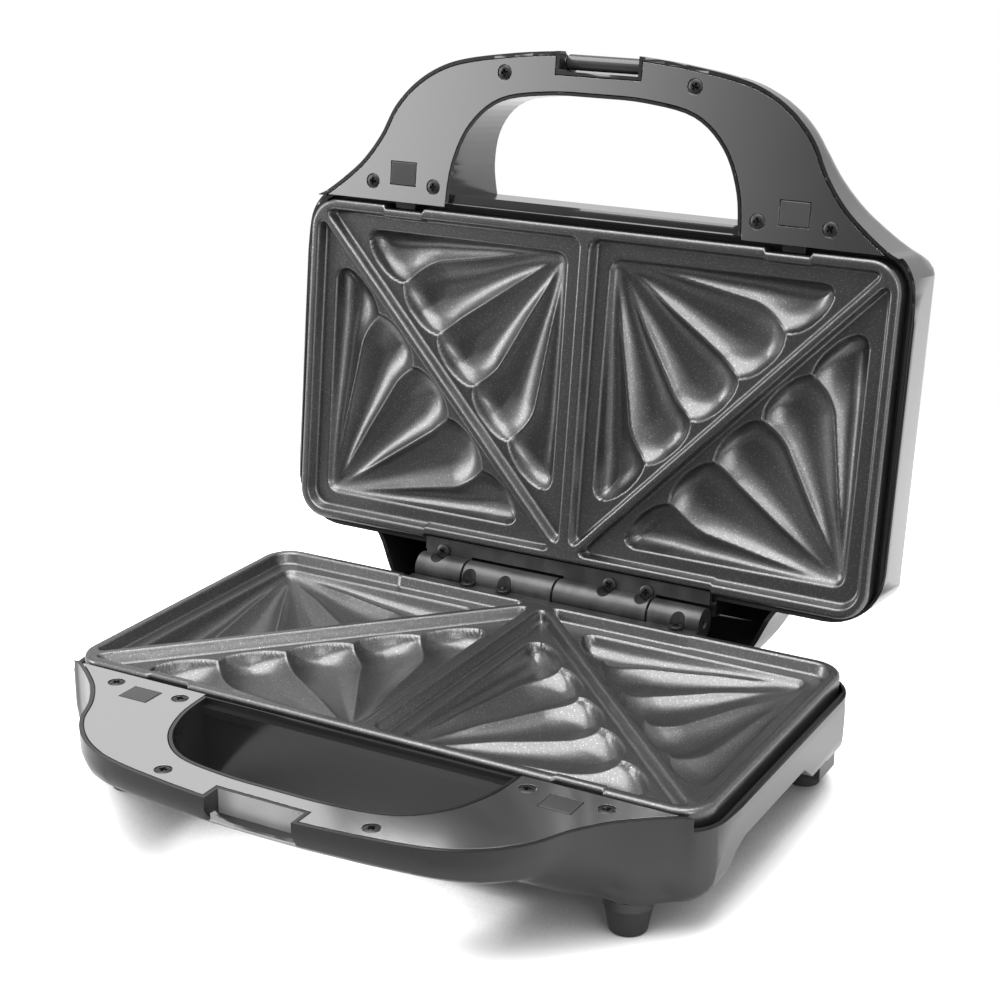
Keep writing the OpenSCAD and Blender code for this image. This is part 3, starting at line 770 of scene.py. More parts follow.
@dataclass
class CookingPlate:
    """A cast plate with two pairs of triangular pockets, each with a fan of five lobes.

    In a pocket, u is the distance from the divider or the plate's end and v the distance from its
    front or rear side. Each lobe has the u and v of its far end and its radius there.
    """

    width: float = 250.0
    depth: float = 133.0
    corner: float = 12.0
    rim: float = 3.7
    edge_round: float = 1.5
    edge_turns: tuple[float, ...] = (22.0, 45.0, 68.0, 90.0)
    skirt: float = 9.0
    skirt_chamfer: float = 0.4
    land: float = 4.6
    wall_run: float = 1.35
    bowl_edge: float = 0.035
    divider: float = 4.4
    diagonal: float = 2.6
    diagonal_side: float = 5.7
    diagonal_end: float = 6.3
    diagonal_root: float = 2.6
    pocket_corner: float = 4.0
    fan_margin: float = 7.2
    fan_corner: float = 4.5
    wall_round: float = 8.0
    lobe_spread: float = 0.36
    crease_share: float = 0.5
    crease_from: float = 5.0
    crease_start: float = 30.0
    floor_ledge: float = 0.9
    fan_centre: tuple[float, float] = (8.2, 7.0)
    root_depth: float = 3.6
    end_depth: float = 7.6
    root_radius: float = 6.0
    lobes: tuple[Triple, ...] = ((78.3, 8.4, 18.9), (61.2, 27.6, 18.7), (45.2, 47.4, 17.6),
                                 (28.1, 67.4, 17.2), (8.4, 82.2, 19.5))
    catch_notch: tuple[float, float, float] = (72.8, 90.7, 1.5)
    leaf_relief: tuple[float, float] = (63.5, 1.3)
    notch_slope: float = 0.3
    tray_gap: float = 7.5
    under_depth: float = 13.6
    under_draft: float = 0.5
    step: float = 0.64
    crease: float = 75.0

    def _below(self, beside: np.ndarray, limit: float) -> np.ndarray:
        """1 where a distance is below a limit, with a short slope down to 0."""
        return np.clip((limit - beside) / self.notch_slope + 0.5, 0, 1)

    def _outline_pull(self, x: np.ndarray, y: np.ndarray) -> np.ndarray:
        """Moves points near the front and rear edges inwards at the notches.

        Args:
            x: side coordinate.
            y: front to back coordinate.

        Returns:
            The new y.
        """
        near_front = np.clip((-y - self.depth / 2 + 2 * self.rim) / (2 * self.rim), 0, 1)
        near_rear = np.clip((y - self.depth / 2 + 2 * self.rim) / (2 * self.rim), 0, 1)
        low, high, cut = self.catch_notch
        beside = np.abs(x)
        notch = self._below(-beside, -low) * self._below(beside, high)
        relief_width, relief_cut = self.leaf_relief
        relief = self._below(beside, relief_width) * relief_cut
        return y + near_front * notch * cut - near_rear * relief

    @staticmethod
    def _rounded_inside(distances: Sequence[np.ndarray], radius: float) -> np.ndarray:
        """Distance inside several walls whose corners are rounded.

        Args:
            distances: distance to each wall, positive inside.
            radius: radius of the corners.

        Returns:
            The distance.
        """
        nearest = np.minimum.reduce(list(distances))
        total = sum(np.maximum(radius - distance, 0) ** 2 for distance in distances)
        return np.where(nearest >= radius, nearest, radius - np.sqrt(total))

    @staticmethod
    def _eased(value: np.ndarray) -> np.ndarray:
        """Smooth step from 0 to 1."""
        t = np.clip(value, 0, 1)
        return t * t * (3 - 2 * t)

    def _bowl(self, share: np.ndarray) -> np.ndarray:
        """Section of a bowl: 0 at its edge, 1 in the middle, with a steep wall and a round floor.

        Args:
            share: distance inside the edge as a share of the bowl's half width.

        Returns:
            The depth as a share of the deepest.
        """
        t = np.clip(share, 0, 1)
        return np.sqrt(np.clip(1 - (1 - t) ** 2, 0, 1)) * np.clip(t / self.bowl_edge, 0, 1)

    def _fan(self, u: np.ndarray, v: np.ndarray, floor_edge: np.ndarray) -> np.ndarray:
        """Depth of the five lobes below the land.

        Args:
            u: distance from the divider or the plate's end.
            v: distance from the plate's front or rear side.
            floor_edge: distance inside the pocket's flat floor.

        Returns:
            The depth.
        """
        cu, cv = self.fan_centre
        lobes = []
        for end_u, end_v, radius in self.lobes:
            au, av = end_u - cu, end_v - cv
            along = np.clip(((u - cu) * au + (v - cv) * av) / (au * au + av * av), 0, 1)
            off = np.hypot(u - cu - along * au, v - cv - along * av)
            lobes.append(self.root_radius + (radius - self.root_radius) * along - off)
        second, first = np.sort(np.stack(lobes), axis=0)[-2:]
        margins = (first, u - self.fan_margin, v - self.fan_margin, floor_edge - self.floor_ledge)
        inside = self._rounded_inside(margins, self.fan_corner)
        turn = np.degrees(np.arctan2(v - cv, u - cu))
        away = np.hypot(u - cu, v - cv)
        across = np.clip(1 - (first - second) / (self.lobe_spread * np.maximum(away, 1)), 0, 1)
        turns = [math.degrees(math.atan2(b - cv, a - cu)) for a, b, _ in self.lobes]
        reach = np.interp(turn, turns, [math.hypot(a - cu, b - cv) for a, b, _ in self.lobes])
        floor = self.root_depth + (self.end_depth - self.root_depth) * self._eased(away / reach)
        risen = self._eased((away - self.crease_from) / self.crease_start)
        crest = self.crease_share * across ** 2 * risen
        return floor * (1 - crest) * self._bowl(inside / self.wall_round)

    def surface(self, x: np.ndarray, y: np.ndarray) -> np.ndarray:
        """Depth of the cooking surface.

        Args:
            x: side coordinate.
            y: front to back coordinate.

        Returns:
            The depth at each point.
        """
        beside = np.abs(x)
        inner_x = self.divider / 2
        outer_x = self.width / 2 - self.rim
        end_y = self.depth / 2 - self.rim
        start = np.array([self.width / 2 - self.diagonal_side, self.diagonal_end - self.depth / 2])
        stop = np.array([inner_x + self.diagonal_root, self.depth / 2 - self.diagonal_end])
        run = (stop - start) / np.linalg.norm(stop - start)
        across = (beside - start[0]) * run[1] - (y - start[1]) * run[0]
        result = np.zeros_like(x)
        for u, v, gap, corner in (
            (beside - inner_x, y + end_y, -across - self.diagonal / 2, self.pocket_corner),
            (outer_x - beside, end_y - y, across - self.diagonal / 2, self.corner - self.rim),
        ):
            square = self._rounded_inside((u, v), corner)
            inside = self._rounded_inside((square, gap), self.pocket_corner)
            pocket = self.land * self._eased(inside / self.wall_run)
            lobes = self._fan(u, v, inside - self.wall_run)
            result = np.maximum(result, np.where(inside > 0, pocket + lobes, 0))
        return result

    def _rounded_grid(self, inset: float) -> tuple[np.ndarray, np.ndarray]:
        """A grid over a rectangle whose corner squares are pulled into quarter discs.

        Args:
            inset: how far the grid's edge lies inside the plate's edge.

        Returns:
            The x and y of the grid points.
        """
        half_x, half_y = self.width / 2 - inset, self.depth / 2 - inset
        radius = self.corner - inset
        columns = int(round(2 * half_x / self.step)) + 1
        rows = int(round(2 * half_y / self.step)) + 1
        x, y = np.meshgrid(np.linspace(-half_x, half_x, columns),
                           np.linspace(-half_y, half_y, rows))
        px = np.abs(x) - (half_x - radius)
        py = np.abs(y) - (half_y - radius)
        in_corner = (px > 0) & (py > 0)
        length = np.hypot(px, py)
        factor = np.where(in_corner, np.maximum(px, py) / np.where(length > 0, length, 1), 1)
        new_x = np.where(in_corner, np.sign(x) * (half_x - radius + px * factor), x)
        new_y = np.where(in_corner, np.sign(y) * (half_y - radius + py * factor), y)
        return new_x, new_y

    def _rings(self) -> list[tuple[float, float]]:
        """Lists the rings of points below the cooking surface.

        Returns:
            How far each ring lies outside the grid's edge, and how deep: round the edge, down the
            skirt and in to the underside.
        """
        turns = [math.radians(degrees) for degrees in self.edge_turns]
        rings = [(self.edge_round * math.sin(turn), self.edge_round * (1 - math.cos(turn)))
                 for turn in turns]
        return rings + [(self.edge_round, self.skirt - self.skirt_chamfer),
                        (self.edge_round - self.skirt_chamfer, self.skirt),
                        (-self.tray_gap, self.skirt),
                        (-self.tray_gap - self.under_draft, self.under_depth)]

    def build(self, name: str, matrix: Matrix) -> bpy.types.Mesh:
        """Makes the plate: the cooking surface, its rounded edge, its skirt and a closed underside.

        Args:
            name: name of the mesh.
            matrix: the change to the object's frame.

        Returns:
            The mesh.
        """
        x, y = self._rounded_grid(self.edge_round)
        rows, columns = x.shape
        z = self.surface(x, y)
        points = [np.stack([x.ravel(), y.ravel(), z.ravel()], axis=1)]
        index = np.arange(rows * columns).reshape(rows, columns)
        quads = np.stack([index[:-1, :-1], index[1:, :-1], index[1:, 1:], index[:-1, 1:]], axis=-1)
        faces = quads.reshape(-1, 4).tolist()
        loop = [*index[0, :-1], *index[:-1, -1], *index[-1, :0:-1], *index[:0:-1, 0]]
        edge_x, edge_y = x.ravel()[loop], y.ravel()[loop]
        core_x = np.clip(edge_x, -(self.width / 2 - self.corner), self.width / 2 - self.corner)
        core_y = np.clip(edge_y, -(self.depth / 2 - self.corner), self.depth / 2 - self.corner)
        out_x, out_y = edge_x - core_x, edge_y - core_y
        size = np.hypot(out_x, out_y)
        out_x, out_y = out_x / size, out_y / size
        previous = loop
        count = len(points[0])
        for outwards, level in self._rings():
            points.append(np.stack([edge_x + out_x * outwards, edge_y + out_y * outwards,
                                    np.full(len(loop), level)], axis=1))
            current = list(range(count, count + len(loop)))
            count += len(loop)
            for k in range(len(loop)):
                after = (k + 1) % len(loop)
                faces.append([previous[k], previous[after], current[after], current[k]])
            previous = current
        faces.append(previous)
        everything = np.concatenate(points)
        everything[:, 1] = self._outline_pull(everything[:, 0], everything[:, 1])
        mesh = placed_mesh(name, everything, [face[::-1] for face in faces], matrix)
        shade_by_angle(mesh, self.crease)
        return mesh

    def dress(self, shop: Workshop) -> None:
        """Adds the plate of each half.

        Args:
            shop: the workshop.
        """
        for half in Half:
            node = f"{half.value}_plate"
            mesh = self.build(f"{node}_cast", shop.seating.matrix(half))
            shop.add(f"{node}_cast", mesh, "coating", half.value, (node,))


# ------------------------------------------------------------------------------ rounded pieces


@dataclass
class HandleEdges:
    """Rounds the outer lower edges of the handles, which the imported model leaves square.

    The outline gives the handle's plan from its middle to the plate's side, as distances inside the
    plate's side and shares of the handle's length. The bottoms are pairs of y and depth. The pad,
    which keeps its shape, has its place and its radius.
    """

    outline: tuple[tuple[float, float], ...] = (
        (125.0, 1.0), (110.0, 0.992), (90.0, 0.963), (68.5, 0.911), (56.0, 0.847), (45.5, 0.742),
        (37.0, 0.598), (31.0, 0.42), (23.5, 0.265), (15.0, 0.147), (6.5, 0.05), (1.0, 0.0),
        (-3.3, -0.122), (-4.5, -0.337), (-4.5, -1.5))
    half_width: float = 125.0
    front: float = 66.5
    length: float = 65.3
    radius: float = 17.0
    front_share: float = 0.42
    side_share: float = 0.8
    share_reach: tuple[float, float] = (-120.0, -100.0)
    spacing: float = 2.2
    middle_spacing: float = 9.0
    middle: float = 54.0
    first_cut: float = 1.0
    beyond: float = 4.0
    cut_tolerance: float = 1e-5
    row_tolerance: float = 1e-3
    fade: tuple[float, float] = (-60.0, -72.0)
    pad: Triple = (101.0, -66.5, 9.5)
    pad_blend: float = 6.0
    least_move: float = 0.004
    below: float = 0.6
    smoothing: int = 5
    bottoms: Mapping[Half, tuple[tuple[float, float], ...]] = field(default_factory=lambda: {
        Half.BASE: ((-131.8, 10.4), (-100.5, 19.0), (-80.2, 31.0), (-66.5, 35.0)),
        Half.LID: ((-131.8, 9.5), (-69.8, 41.5)),
    })

    def _inside(self, points: np.ndarray) -> tuple[np.ndarray, np.ndarray]:
        """Distance inside the handle's plan and the direction inwards.

        Args:
            points: plan coordinates on the right half.

        Returns:
            The distance and the unit direction away from the nearest edge.
        """
        edge = np.array([(self.half_width - inset, -self.front - share * self.length)
                         for inset, share in self.outline])
        best = np.full(len(points), np.inf)
        inwards = np.zeros_like(points)
        for start, step in zip(edge[:-1], np.diff(edge, axis=0)):
            share = np.clip(((points - start) @ step) / (step @ step), 0, 1)
            off = points - start - share[:, None] * step
            distance = np.hypot(off[:, 0], off[:, 1])
            nearer = distance < best
            normal = np.array([-step[1], step[0]]) / np.hypot(*step)
            if normal @ (np.array([0.0, -self.front]) - start) < 0:
                normal = -normal
            best[nearer] = distance[nearer]
            inwards[nearer] = normal
        return best, inwards

    def _cut_up(self, work: bmesh.types.BMesh, half: Half) -> None:
        """Cuts the handle into a grid, so that the rounding has points to move.

        Args:
            work: the shell in half coordinates.
            half: the half that it belongs to.
        """
        depths = np.arange(self.first_cut, self.bottoms[half][-1][1], self.spacing)
        fronts = np.arange(-self.front - self.length + self.first_cut, self.fade[0], self.spacing)
        sides = [*np.arange(0.0, self.middle, self.middle_spacing),
                 *np.arange(self.middle, self.half_width + self.beyond, self.spacing)]
        for y in fronts:
            everything = [*work.verts, *work.edges, *work.faces]
            bmesh.ops.bisect_plane(work, geom=everything, plane_co=(0, y, 0), plane_no=(0, 1, 0),
                                   dist=self.cut_tolerance)
        last = fronts[-1] + self.row_tolerance
        faces = [face for face in work.faces if max(vertex.co.y for vertex in face.verts) < last]
        edges = {edge for face in faces for edge in face.edges}
        handle = [*{vertex for edge in edges for vertex in edge.verts}, *edges, *faces]
        planes = [((0, 0, depth), (0, 0, 1)) for depth in depths]
        planes += [((side * way, 0, 0), (1, 0, 0)) for side in sides for way in (-1, 1)]
        for point, normal in planes:
            handle = bmesh.ops.bisect_plane(work, geom=handle, plane_co=point, plane_no=normal,
                                            dist=self.cut_tolerance)["geom"]

    def round_off(self, work: bmesh.types.BMesh, half: Half) -> None:
        """Moves the points near the outer lower edge onto a round.

        Args:
            work: the shell in half coordinates.
            half: the half that it belongs to.
        """
        self._cut_up(work, half)
        places = np.array([vertex.co for vertex in work.verts])
        sides = np.sign(places[:, 0])
        plan = np.stack([np.abs(places[:, 0]), places[:, 1]], axis=1)
        inside, inwards = self._inside(plan)
        marks = np.array(self.bottoms[half])
        bottom = np.interp(places[:, 1], marks[:, 0], marks[:, 1])
        above = bottom - places[:, 2]
        part = np.interp(places[:, 1], self.share_reach, (self.front_share, self.side_share))
        radius = np.minimum(self.radius, part * bottom)
        px, py = radius - inside, radius - above
        weight = np.clip((places[:, 1] - self.fade[0]) / (self.fade[1] - self.fade[0]), 0, 1)
        near = (px > 0) & (py > 0) & (above > -self.below) & (weight > 0)
        py = np.minimum(py, radius)
        length = np.where(near, np.hypot(px, py), 1)
        share = 1 - np.maximum(px, py) / np.where(length > 0, length, 1)
        pad = np.hypot(plan[:, 0] - self.pad[0], plan[:, 1] - self.pad[1]) - self.pad[2]
        keep_pad = np.clip(pad / self.pad_blend, 0, 1) if half is Half.BASE else 1
        moves = np.where(near, share * weight * keep_pad, 0)
        plan += inwards * (moves * px)[:, None]
        places[:, 0] = plan[:, 0] * np.where(sides == 0, 1, sides)
        places[:, 1] = plan[:, 1]
        places[:, 2] -= moves * py
        for vertex, place in zip(work.verts, places):
            vertex.co = place
        moved = [vertex for vertex, move in zip(work.verts, moves) if move > self.least_move]
        for _ in range(self.smoothing):
            bmesh.ops.smooth_vert(work, verts=moved, factor=0.5, use_axis_x=True, use_axis_y=True,
                                  use_axis_z=True)


@dataclass
class SoftenedNodes:
    """Copies of plain nodes with rounded edges, as moulded and pressed pieces have them.

    Each rounding has its size in millimetres and its steps.
    """

    on_halves: Mapping[str, tuple[float, int]] = field(default_factory=lambda: {
        "shell": (0.5, 2), "panel": (0.3, 2), "hinge_leaf": (0.45, 2),
        "button_left": (0.4, 2), "button_right": (0.4, 2),
        "catch_left": (0.25, 1), "catch_right": (0.25, 1), "frame": (0.3, 1),
    })
    single: Mapping[str, tuple[float, int]] = field(default_factory=lambda: {
        "latch": (0.4, 2), "front_feet": (0.8, 3), "rear_feet": (0.6, 2), "cord_gland": (0.6, 2),
    })
    handles: HandleEdges = field(default_factory=HandleEdges)
    crease: float = 32.0
    flat: float = 0.6
    # where the notch's painted reflection goes: half width, front to rear reach, and how squarely a face
    # must look forwards
    notch_half_width: float = 17.5
    notch_reach: tuple[float, float] = (-131.0, -118.0)
    notch_facing: float = -0.9

    def soften(self, node: str, width: float, segments: int, shop: Workshop) -> bpy.types.Mesh:
        """Makes a copy of a node with its sharp edges rounded.

        Args:
            node: the node.
            width: size of the rounding, in millimetres.
            segments: steps of the rounding.
            shop: the workshop.

        Returns:
            The mesh.
        """
        work = merged_copy(shop.frame["nodes"][node])
        bmesh.ops.dissolve_limit(work, angle_limit=math.radians(self.flat), verts=work.verts,
                                 edges=work.edges)
        if node.endswith("_shell"):
            half = Half.of(node)
            matrix = shop.seating.matrix(half)
            work.transform(matrix.inverted())
            self.handles.round_off(work, half)
            work.transform(matrix)
        plain = bpy.data.meshes.new(f"{node}_plain")
        work.to_mesh(plain)
        work.free()
        temporary = set_out(f"{node}_work", plain)
        bevel = temporary.modifiers.new("rounding", "BEVEL")
        bevel.width = width * MM
        bevel.segments = segments
        bevel.limit_method = "ANGLE"
        bevel.angle_limit = math.radians(self.crease)
        bevel.miter_outer = "MITER_ARC"
        weighted = temporary.modifiers.new("normals", "WEIGHTED_NORMAL")
        weighted.keep_sharp = True
        plain.shade_smooth()
        return baked(temporary, f"{node}_rounded")

    def paint_notch_reflection(self, piece: bpy.types.Object, shop: Workshop) -> None:
        """Gives the back wall of the base's latch notch a painted reflection: a light finish that stands in
        for the bright surroundings this glossy wall reflects.

        Args:
            piece: the base's shell.
            shop: the workshop.
        """
        piece.data.materials.append(shop.finishes["notch"])
        to_half = shop.seating.matrix(Half.BASE).inverted()
        front, rear = self.notch_reach
        for face in piece.data.polygons:
            centre = to_half @ face.center
            inside = abs(centre.x) < self.notch_half_width and front < centre.y < rear
            if inside and face.normal.y < self.notch_facing:
                face.material_index = 1

    def dress(self, shop: Workshop) -> None:
        """Adds the rounded copy of each node.

        Args:
            shop: the workshop.
        """
        halves = {f"{half.value}_{kind}": rounding for kind, rounding in self.on_halves.items()
                  for half in Half}
        for node, (width, segments) in {**halves, **self.single}.items():
            mesh = self.soften(node, width, segments, shop)
            piece = shop.add(f"{node}_rounded", mesh, shop.slot_of(node), shop.body_of(node),
                             (node,))
            if node == "base_shell":
                self.paint_notch_reflection(piece, shop)
# the base shell's notch wall gets its painted reflection


# ------------------------------------------------------------------------------ screws


@dataclass
class CrossHeadScrews:
    """Pan-head screws with a cross recess, in place of the plain ones."""

    nodes: tuple[str, ...] = ("base_panel_screws", "lid_panel_screws", "base_hinge_screws",
                              "lid_hinge_screws")
    sides: int = 40
    head_rows: int = 3
    head_rings: int = 6
    head_height: float = 1.6
    crown: float = 0.45
    slot_length: float = 3.9
    slot_width: float = 1.15
    slot_depth: float = 1.3
    slot_taper: float = 0.45
    tip: float = 0.05
    crease: float = 40.0
    seed: int = 7

    @staticmethod
    def _islands(work: bmesh.types.BMesh) -> Iterator[np.ndarray]:
        """Finds the separate pieces of a mesh, in the order of their first points.

        Args:
            work: the mesh.

        Yields:
            The places of the points of each piece.
        """
        unseen = set(work.verts)
        for first in work.verts:
            if first not in unseen:
                continue
            unseen.discard(first)
            island = [first]
            for vertex in island:
                for edge in vertex.link_edges:
                    other = edge.other_vert(vertex)
                    if other in unseen:
                        unseen.discard(other)
                        island.append(other)
            yield np.array([vertex.co for vertex in island])

    def heads(self, node: str, matrix: Matrix, shop: Workshop) -> tuple[np.ndarray, dict[str, float]]:
        """Finds where the screws of a node stand.

        Args:
            node: the node.
            matrix: the change from half coordinates to the object's frame.
            shop: the workshop.

        Returns:
            The middle of each head's top, in half coordinates, and the sizes of a screw in metres.
        """
        work = merged_copy(shop.frame["nodes"][node])
        work.transform(matrix.inverted())
        tops, boxes = [], []
        for places in self._islands(work):
            low, high = places.min(axis=0), places.max(axis=0)
            tops.append(((low[0] + high[0]) / 2, (low[1] + high[1]) / 2, low[2]))
            boxes.append(high - low)
        deepest = max(vertex.co.z for vertex in work.verts)
        shank = [vertex.co.x for vertex in work.verts if abs(vertex.co.z - deepest) < self.tip]
        across = max(shank) - max(top[0] for top in tops)
        work.free()
        width, _, length = np.mean(boxes, axis=0)
        return np.array(tops), {"Head radius": width / 2 * MM, "Length": length * MM,
                                "Shank radius": across * MM}

    def recipe(self, sizes: Mapping[str, float], half: Half, shop: Workshop) -> Recipe:
        """Builds the geometry recipe of a screw.

        Args:
            sizes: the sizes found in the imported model.
            half: the half that the screws belong to.
            shop: the workshop.

        Returns:
            The recipe.
        """
        own = {"Head height": self.head_height, "Crown": self.crown, "Slot length": self.slot_length,
               "Slot width": self.slot_width, "Slot depth": self.slot_depth}
        recipe = Recipe(f"cross_head_screw_{half.value}",
                        {**sizes, **{label: value * MM for label, value in own.items()}})
        radius, height, length = (recipe.size(label) for label in ("Head radius", "Head height", "Length"))
        head = recipe.node("GeometryNodeMeshCylinder", None,
                           {"Vertices": self.sides, "Side Segments": self.head_rows,
                            "Fill Segments": self.head_rings, "Radius": radius, "Depth": height})
        x, y, z = recipe.parts(recipe.node("GeometryNodeInputPosition"))
        share = (x * x + y * y) / (radius * radius)
        sunk = share * share * (z > 0.0) * recipe.size("Crown")
        domed = recipe.bent(head, 0.0, 0.0, 0.0 - sunk)
        arm = (recipe.size("Slot length"), recipe.size("Slot width"), recipe.size("Slot depth") * 2.0)
        bar = recipe.node("GeometryNodeMeshCube", None, {"Size": recipe.vector(*arm)})
        pull = (z < 0.0) * -self.slot_taper
        lifted = recipe.raised(recipe.bent(bar, pull * x, pull * y * 0.5, 0.0), height * 0.5)
        turned = recipe.node("GeometryNodeTransform", None,
                             {"Geometry": lifted, "Rotation": (0.0, 0.0, math.pi / 2)})
        cut = recipe.node("GeometryNodeMeshBoolean", {"operation": "DIFFERENCE"},
                          {"Mesh 1": domed, "Mesh 2": [lifted, turned]})
        shank = recipe.node("GeometryNodeMeshCylinder", None,
                            {"Vertices": self.sides // 2, "Radius": recipe.size("Shank radius"),
                             "Depth": length - height})
        halves = [recipe.raised(cut, height * -0.5), recipe.raised(shank, (length + height) * -0.5)]
        whole = recipe.node("GeometryNodeJoinGeometry", None, {0: halves})
        spin = recipe.node("FunctionNodeRandomValue", {"data_type": "FLOAT"},
                           {2: 0.0, 3: math.pi / 2, "Seed": self.seed}, 1)
        rotation = recipe.node("FunctionNodeRotateRotation", {"rotation_space": "LOCAL"},
                               {0: recipe.tilt_of(shop.seating, half), 1: recipe.vector(0.0, 0.0, spin)})
        placed = recipe.node("GeometryNodeInstanceOnPoints", None,
                             {"Points": recipe.size("Geometry"), "Instance": whole, "Rotation": rotation})
        recipe.finish(placed, shop.finishes["screw"])
        return recipe

    def dress(self, shop: Workshop) -> None:
        """Adds the screws of each node.

        Args:
            shop: the workshop.
        """
        for node in self.nodes:
            half = Half.of(node)
            matrix = shop.seating.matrix(half)
            tops, sizes = self.heads(node, matrix, shop)
            points = np.array([matrix @ Vector(top) for top in tops])
            mesh = self.recipe(sizes, half, shop).bake(f"{node}_cross_head", points)
            shade_by_angle(mesh, self.crease)
            shop.add(f"{node}_cross_head", mesh, "screw", shop.body_of(node), (node,))


# ------------------------------------------------------------------------------ studio


@dataclass(frozen=True)
class Lamp:
    """A soft lamp: where it hangs and what it points at, its size in metres and its power in watts."""

    name: str
    place: Triple
    target: Triple
    size: tuple[float, float]
    power: float

    def hang(self) -> None:
        """Adds the lamp to the scene."""
        data = bpy.data.lights.new(self.name, "AREA")
        data.shape = "RECTANGLE"
        data.size, data.size_y = self.size
        data.energy = self.power
        lamp = set_out(self.name, data)
        aim = Vector(self.target) - Vector(self.place)
        lamp.rotation_mode = "QUATERNION"
        lamp.rotation_quaternion = aim.to_track_quat("-Z", "Y")
        lamp.location = self.place


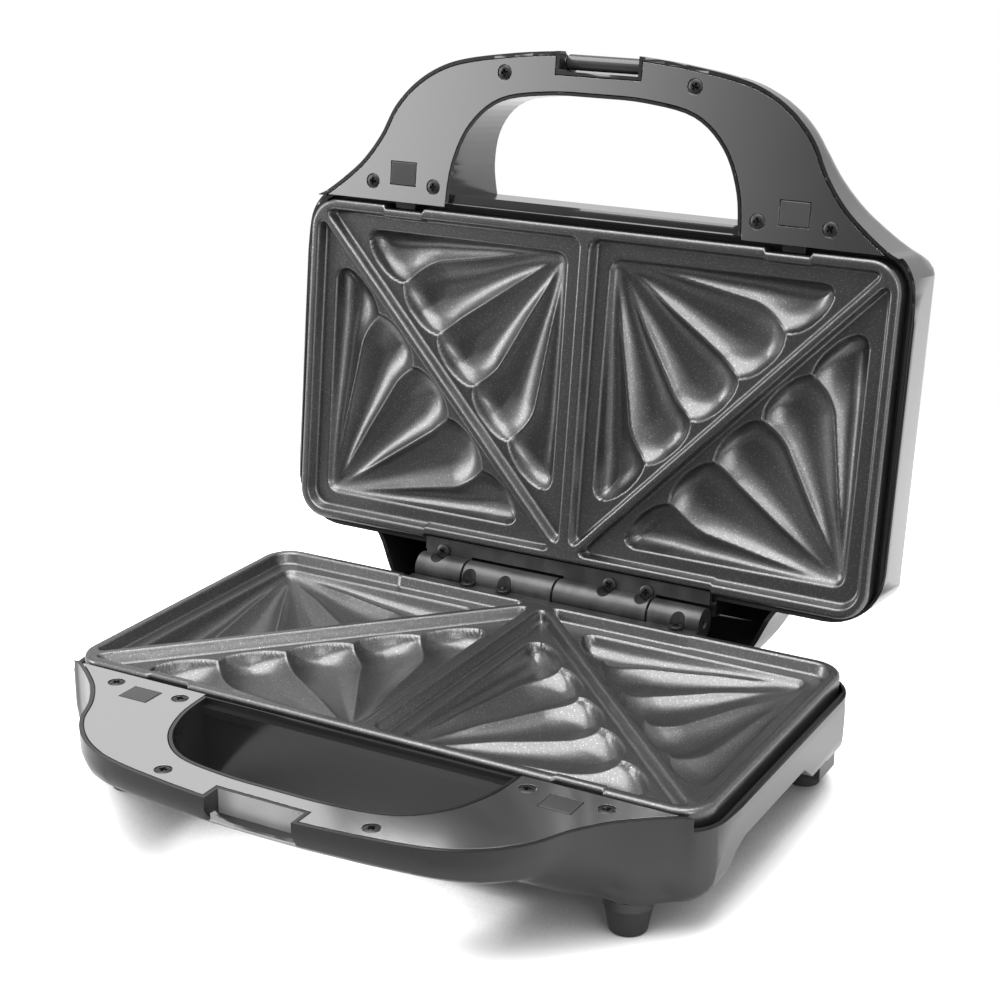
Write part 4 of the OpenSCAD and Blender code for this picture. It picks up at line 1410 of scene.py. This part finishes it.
@dataclass
class Studio:
    """Camera, floor, surroundings and lamps.

    The eye is given in half coordinates of the base, in millimetres, with its height above the
    plane where the halves meet. A pair of distances or directions says where something fades.
    """

    azimuth: float = 28.838
    elevation: float = 18.98
    roll: float = 0.394
    eye: Triple = (334.56, -577.62, 291.33)
    lens: float = 71.885
    sensor: float = 36.0
    clip_start: float = 0.02
    floor_reach: float = 6.0
    floor_tone: float = 0.88
    floor_lift: float = 0.03
    floor_fade: tuple[float, float] = (0.25, 0.6)
    # contact_reach, contact and contact_tone set the floor's painted contact shade: ambient occlusion
    # darkens its colour near the object
    contact_reach: float = 0.06
    contact: tuple[float, float] = (0.05, 0.85)
    contact_tone: float = 0.1
    front_tone: float = 0.05
    front_fade: tuple[float, float] = (-0.35, 0.1)
    sky: float = 0.85
    dark_sky: float = 0.07
    dark_front: tuple[float, float] = (0.2, 0.6)
    dark_left: tuple[float, float] = (-0.6, -0.3)
    dark_right: tuple[float, float] = (0.1, 0.45)
    dark_height: tuple[float, float] = (0.1, 0.55)
    lamps: tuple[Lamp, ...] = (
        Lamp("top", (-0.15, -0.3, 1.3), (-0.15, -0.2, 0.1), (1.5, 1.4), 27),
        Lamp("left", (-1.3, -0.6, 0.4), (0, 0, 0.1), (0.4, 0.9), 8),
        Lamp("right", (0.95, -0.85, 0.45), (0, 0, 0.15), (0.35, 0.8), 3.6),
    )

    def camera(self, seating: Seating) -> None:
        """Places the camera at the photograph's view.

        Args:
            seating: where the halves sit.
        """
        round_it, above, lean = (math.radians(v) for v in (self.azimuth, self.elevation, self.roll))
        back = Vector((math.sin(round_it) * math.cos(above), -math.cos(round_it) * math.cos(above),
                       math.sin(above)))
        level = Vector((math.cos(round_it), math.sin(round_it), 0))
        upright = back.cross(level)
        right = level * math.cos(lean) + upright * math.sin(lean)
        up = upright * math.cos(lean) - level * math.sin(lean)
        data = bpy.data.cameras.new("camera")
        data.lens = self.lens
        data.sensor_width = self.sensor
        data.clip_start = self.clip_start
        camera = set_out("camera", data)
        place = Vector(self.eye) + Vector((0, seating.shift_y, seating.stand))
        turn = Matrix((right, up, back)).transposed().to_4x4()
        camera.matrix_world = Matrix.Translation(place * MM) @ turn
        bpy.context.scene.camera = camera

    def floor_finish(self) -> bpy.types.Material:
        """Makes the pale floor's finish.

        The camera sees white that darkens towards the object, partly from the lamps' own shadows and partly
        from painted contact shade, where ambient occlusion darkens the floor's colour close to the object.
        Reflections see it dark in front.

        Returns:
            The material.
        """
        web = Web("pale_floor")
        place = web.node("ShaderNodeNewGeometry", output="Position")
        away = web.node("ShaderNodeVectorMath", {"operation": "LENGTH"}, {0: place}, "Value")
        _, forward, _ = web.parts(place)
        matt = web.diffuse((*grey(self.floor_tone), 1))
        # painted contact shade: the floor's colour darkens towards contact_tone where ambient occlusion
        # finds the object close
        openness = web.node("ShaderNodeAmbientOcclusion", {"samples": 8}, {"Distance": self.contact_reach},
                            "AO")
        painted_contact_shade = web.mixed(openness.eased(*self.contact), grey(self.contact_tone), grey(self.floor_tone))
        shaded = web.diffuse(painted_contact_shade)
        doubled = web.node("ShaderNodeAddShader", None, {0: shaded, 1: shaded})
        near = web.node("ShaderNodeAddShader", None, {0: doubled, 1: web.glow(self.floor_lift)})
        shown = web.blend(away.eased(*self.floor_fade), near, web.glow(1.0))
        tint = web.mixed(forward.eased(*self.front_fade), grey(self.front_tone), grey(self.floor_tone))
        unseen = web.blend(web.ray("Glossy"), matt, web.diffuse(tint))
        return web.finished(web.blend(web.ray("Camera"), unseen, shown))

    def floor(self) -> None:
        """Lays the floor."""
        mesh = bpy.data.meshes.new("floor")
        corners = [(self.floor_reach * x, self.floor_reach * y, 0)
                   for x, y in ((-1, -1), (1, -1), (1, 1), (-1, 1))]
        mesh.from_pydata(corners, [], [(0, 1, 2, 3)])
        mesh.materials.append(self.floor_finish())
        floor = set_out("floor", mesh)

    def world(self) -> None:
        """Pale surroundings with a dark stretch in front, white where the camera sees them."""
        web = Web("surroundings", surroundings=True)
        side, forward, height = web.parts(web.node("ShaderNodeTexCoord", output="Generated"))
        in_front = (0.0 - forward).eased(*self.dark_front)
        between = side.eased(*self.dark_left) * (1.0 - side.eased(*self.dark_right))
        dark = in_front * between * (1.0 - height.eased(*self.dark_height))
        white = {"Color": (1, 1, 1, 1), "Strength": 1.0}
        soft = {**white, "Strength": self.sky - dark * (self.sky - self.dark_sky)}
        unseen, seen = (web.node("ShaderNodeBackground", None, values) for values in (soft, white))
        bpy.context.scene.world = web.finished(web.blend(web.ray("Camera"), unseen, seen))

    def build(self, seating: Seating) -> None:
        """Sets up the whole studio.

        Args:
            seating: where the halves sit.
        """
        bpy.context.scene.view_settings.view_transform = "Standard"
        self.camera(seating)
        self.floor()
        self.world()
        for lamp in self.lamps:
            lamp.hang()


def main() -> None:
    """Loads the frame, builds the scene and reports each piece."""
    logging.basicConfig(level=logging.INFO, format="%(name)s: %(message)s")
    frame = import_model()
    plate = CookingPlate()
    seating = Seating.from_frame(frame, plate.depth)
    LOG.info("seating %s", seating)
    shop = Workshop(frame, seating, Finishes())
    Studio().build(seating)
    for node, shown in frame["nodes"].items():
        shown.data.materials.clear()
        shown.data.materials.append(shop.finishes[shop.slot_of(node)])
    for craft in (plate, SoftenedNodes(), CrossHeadScrews()):
        craft.dress(shop)


if __name__ == "__main__":
    main()
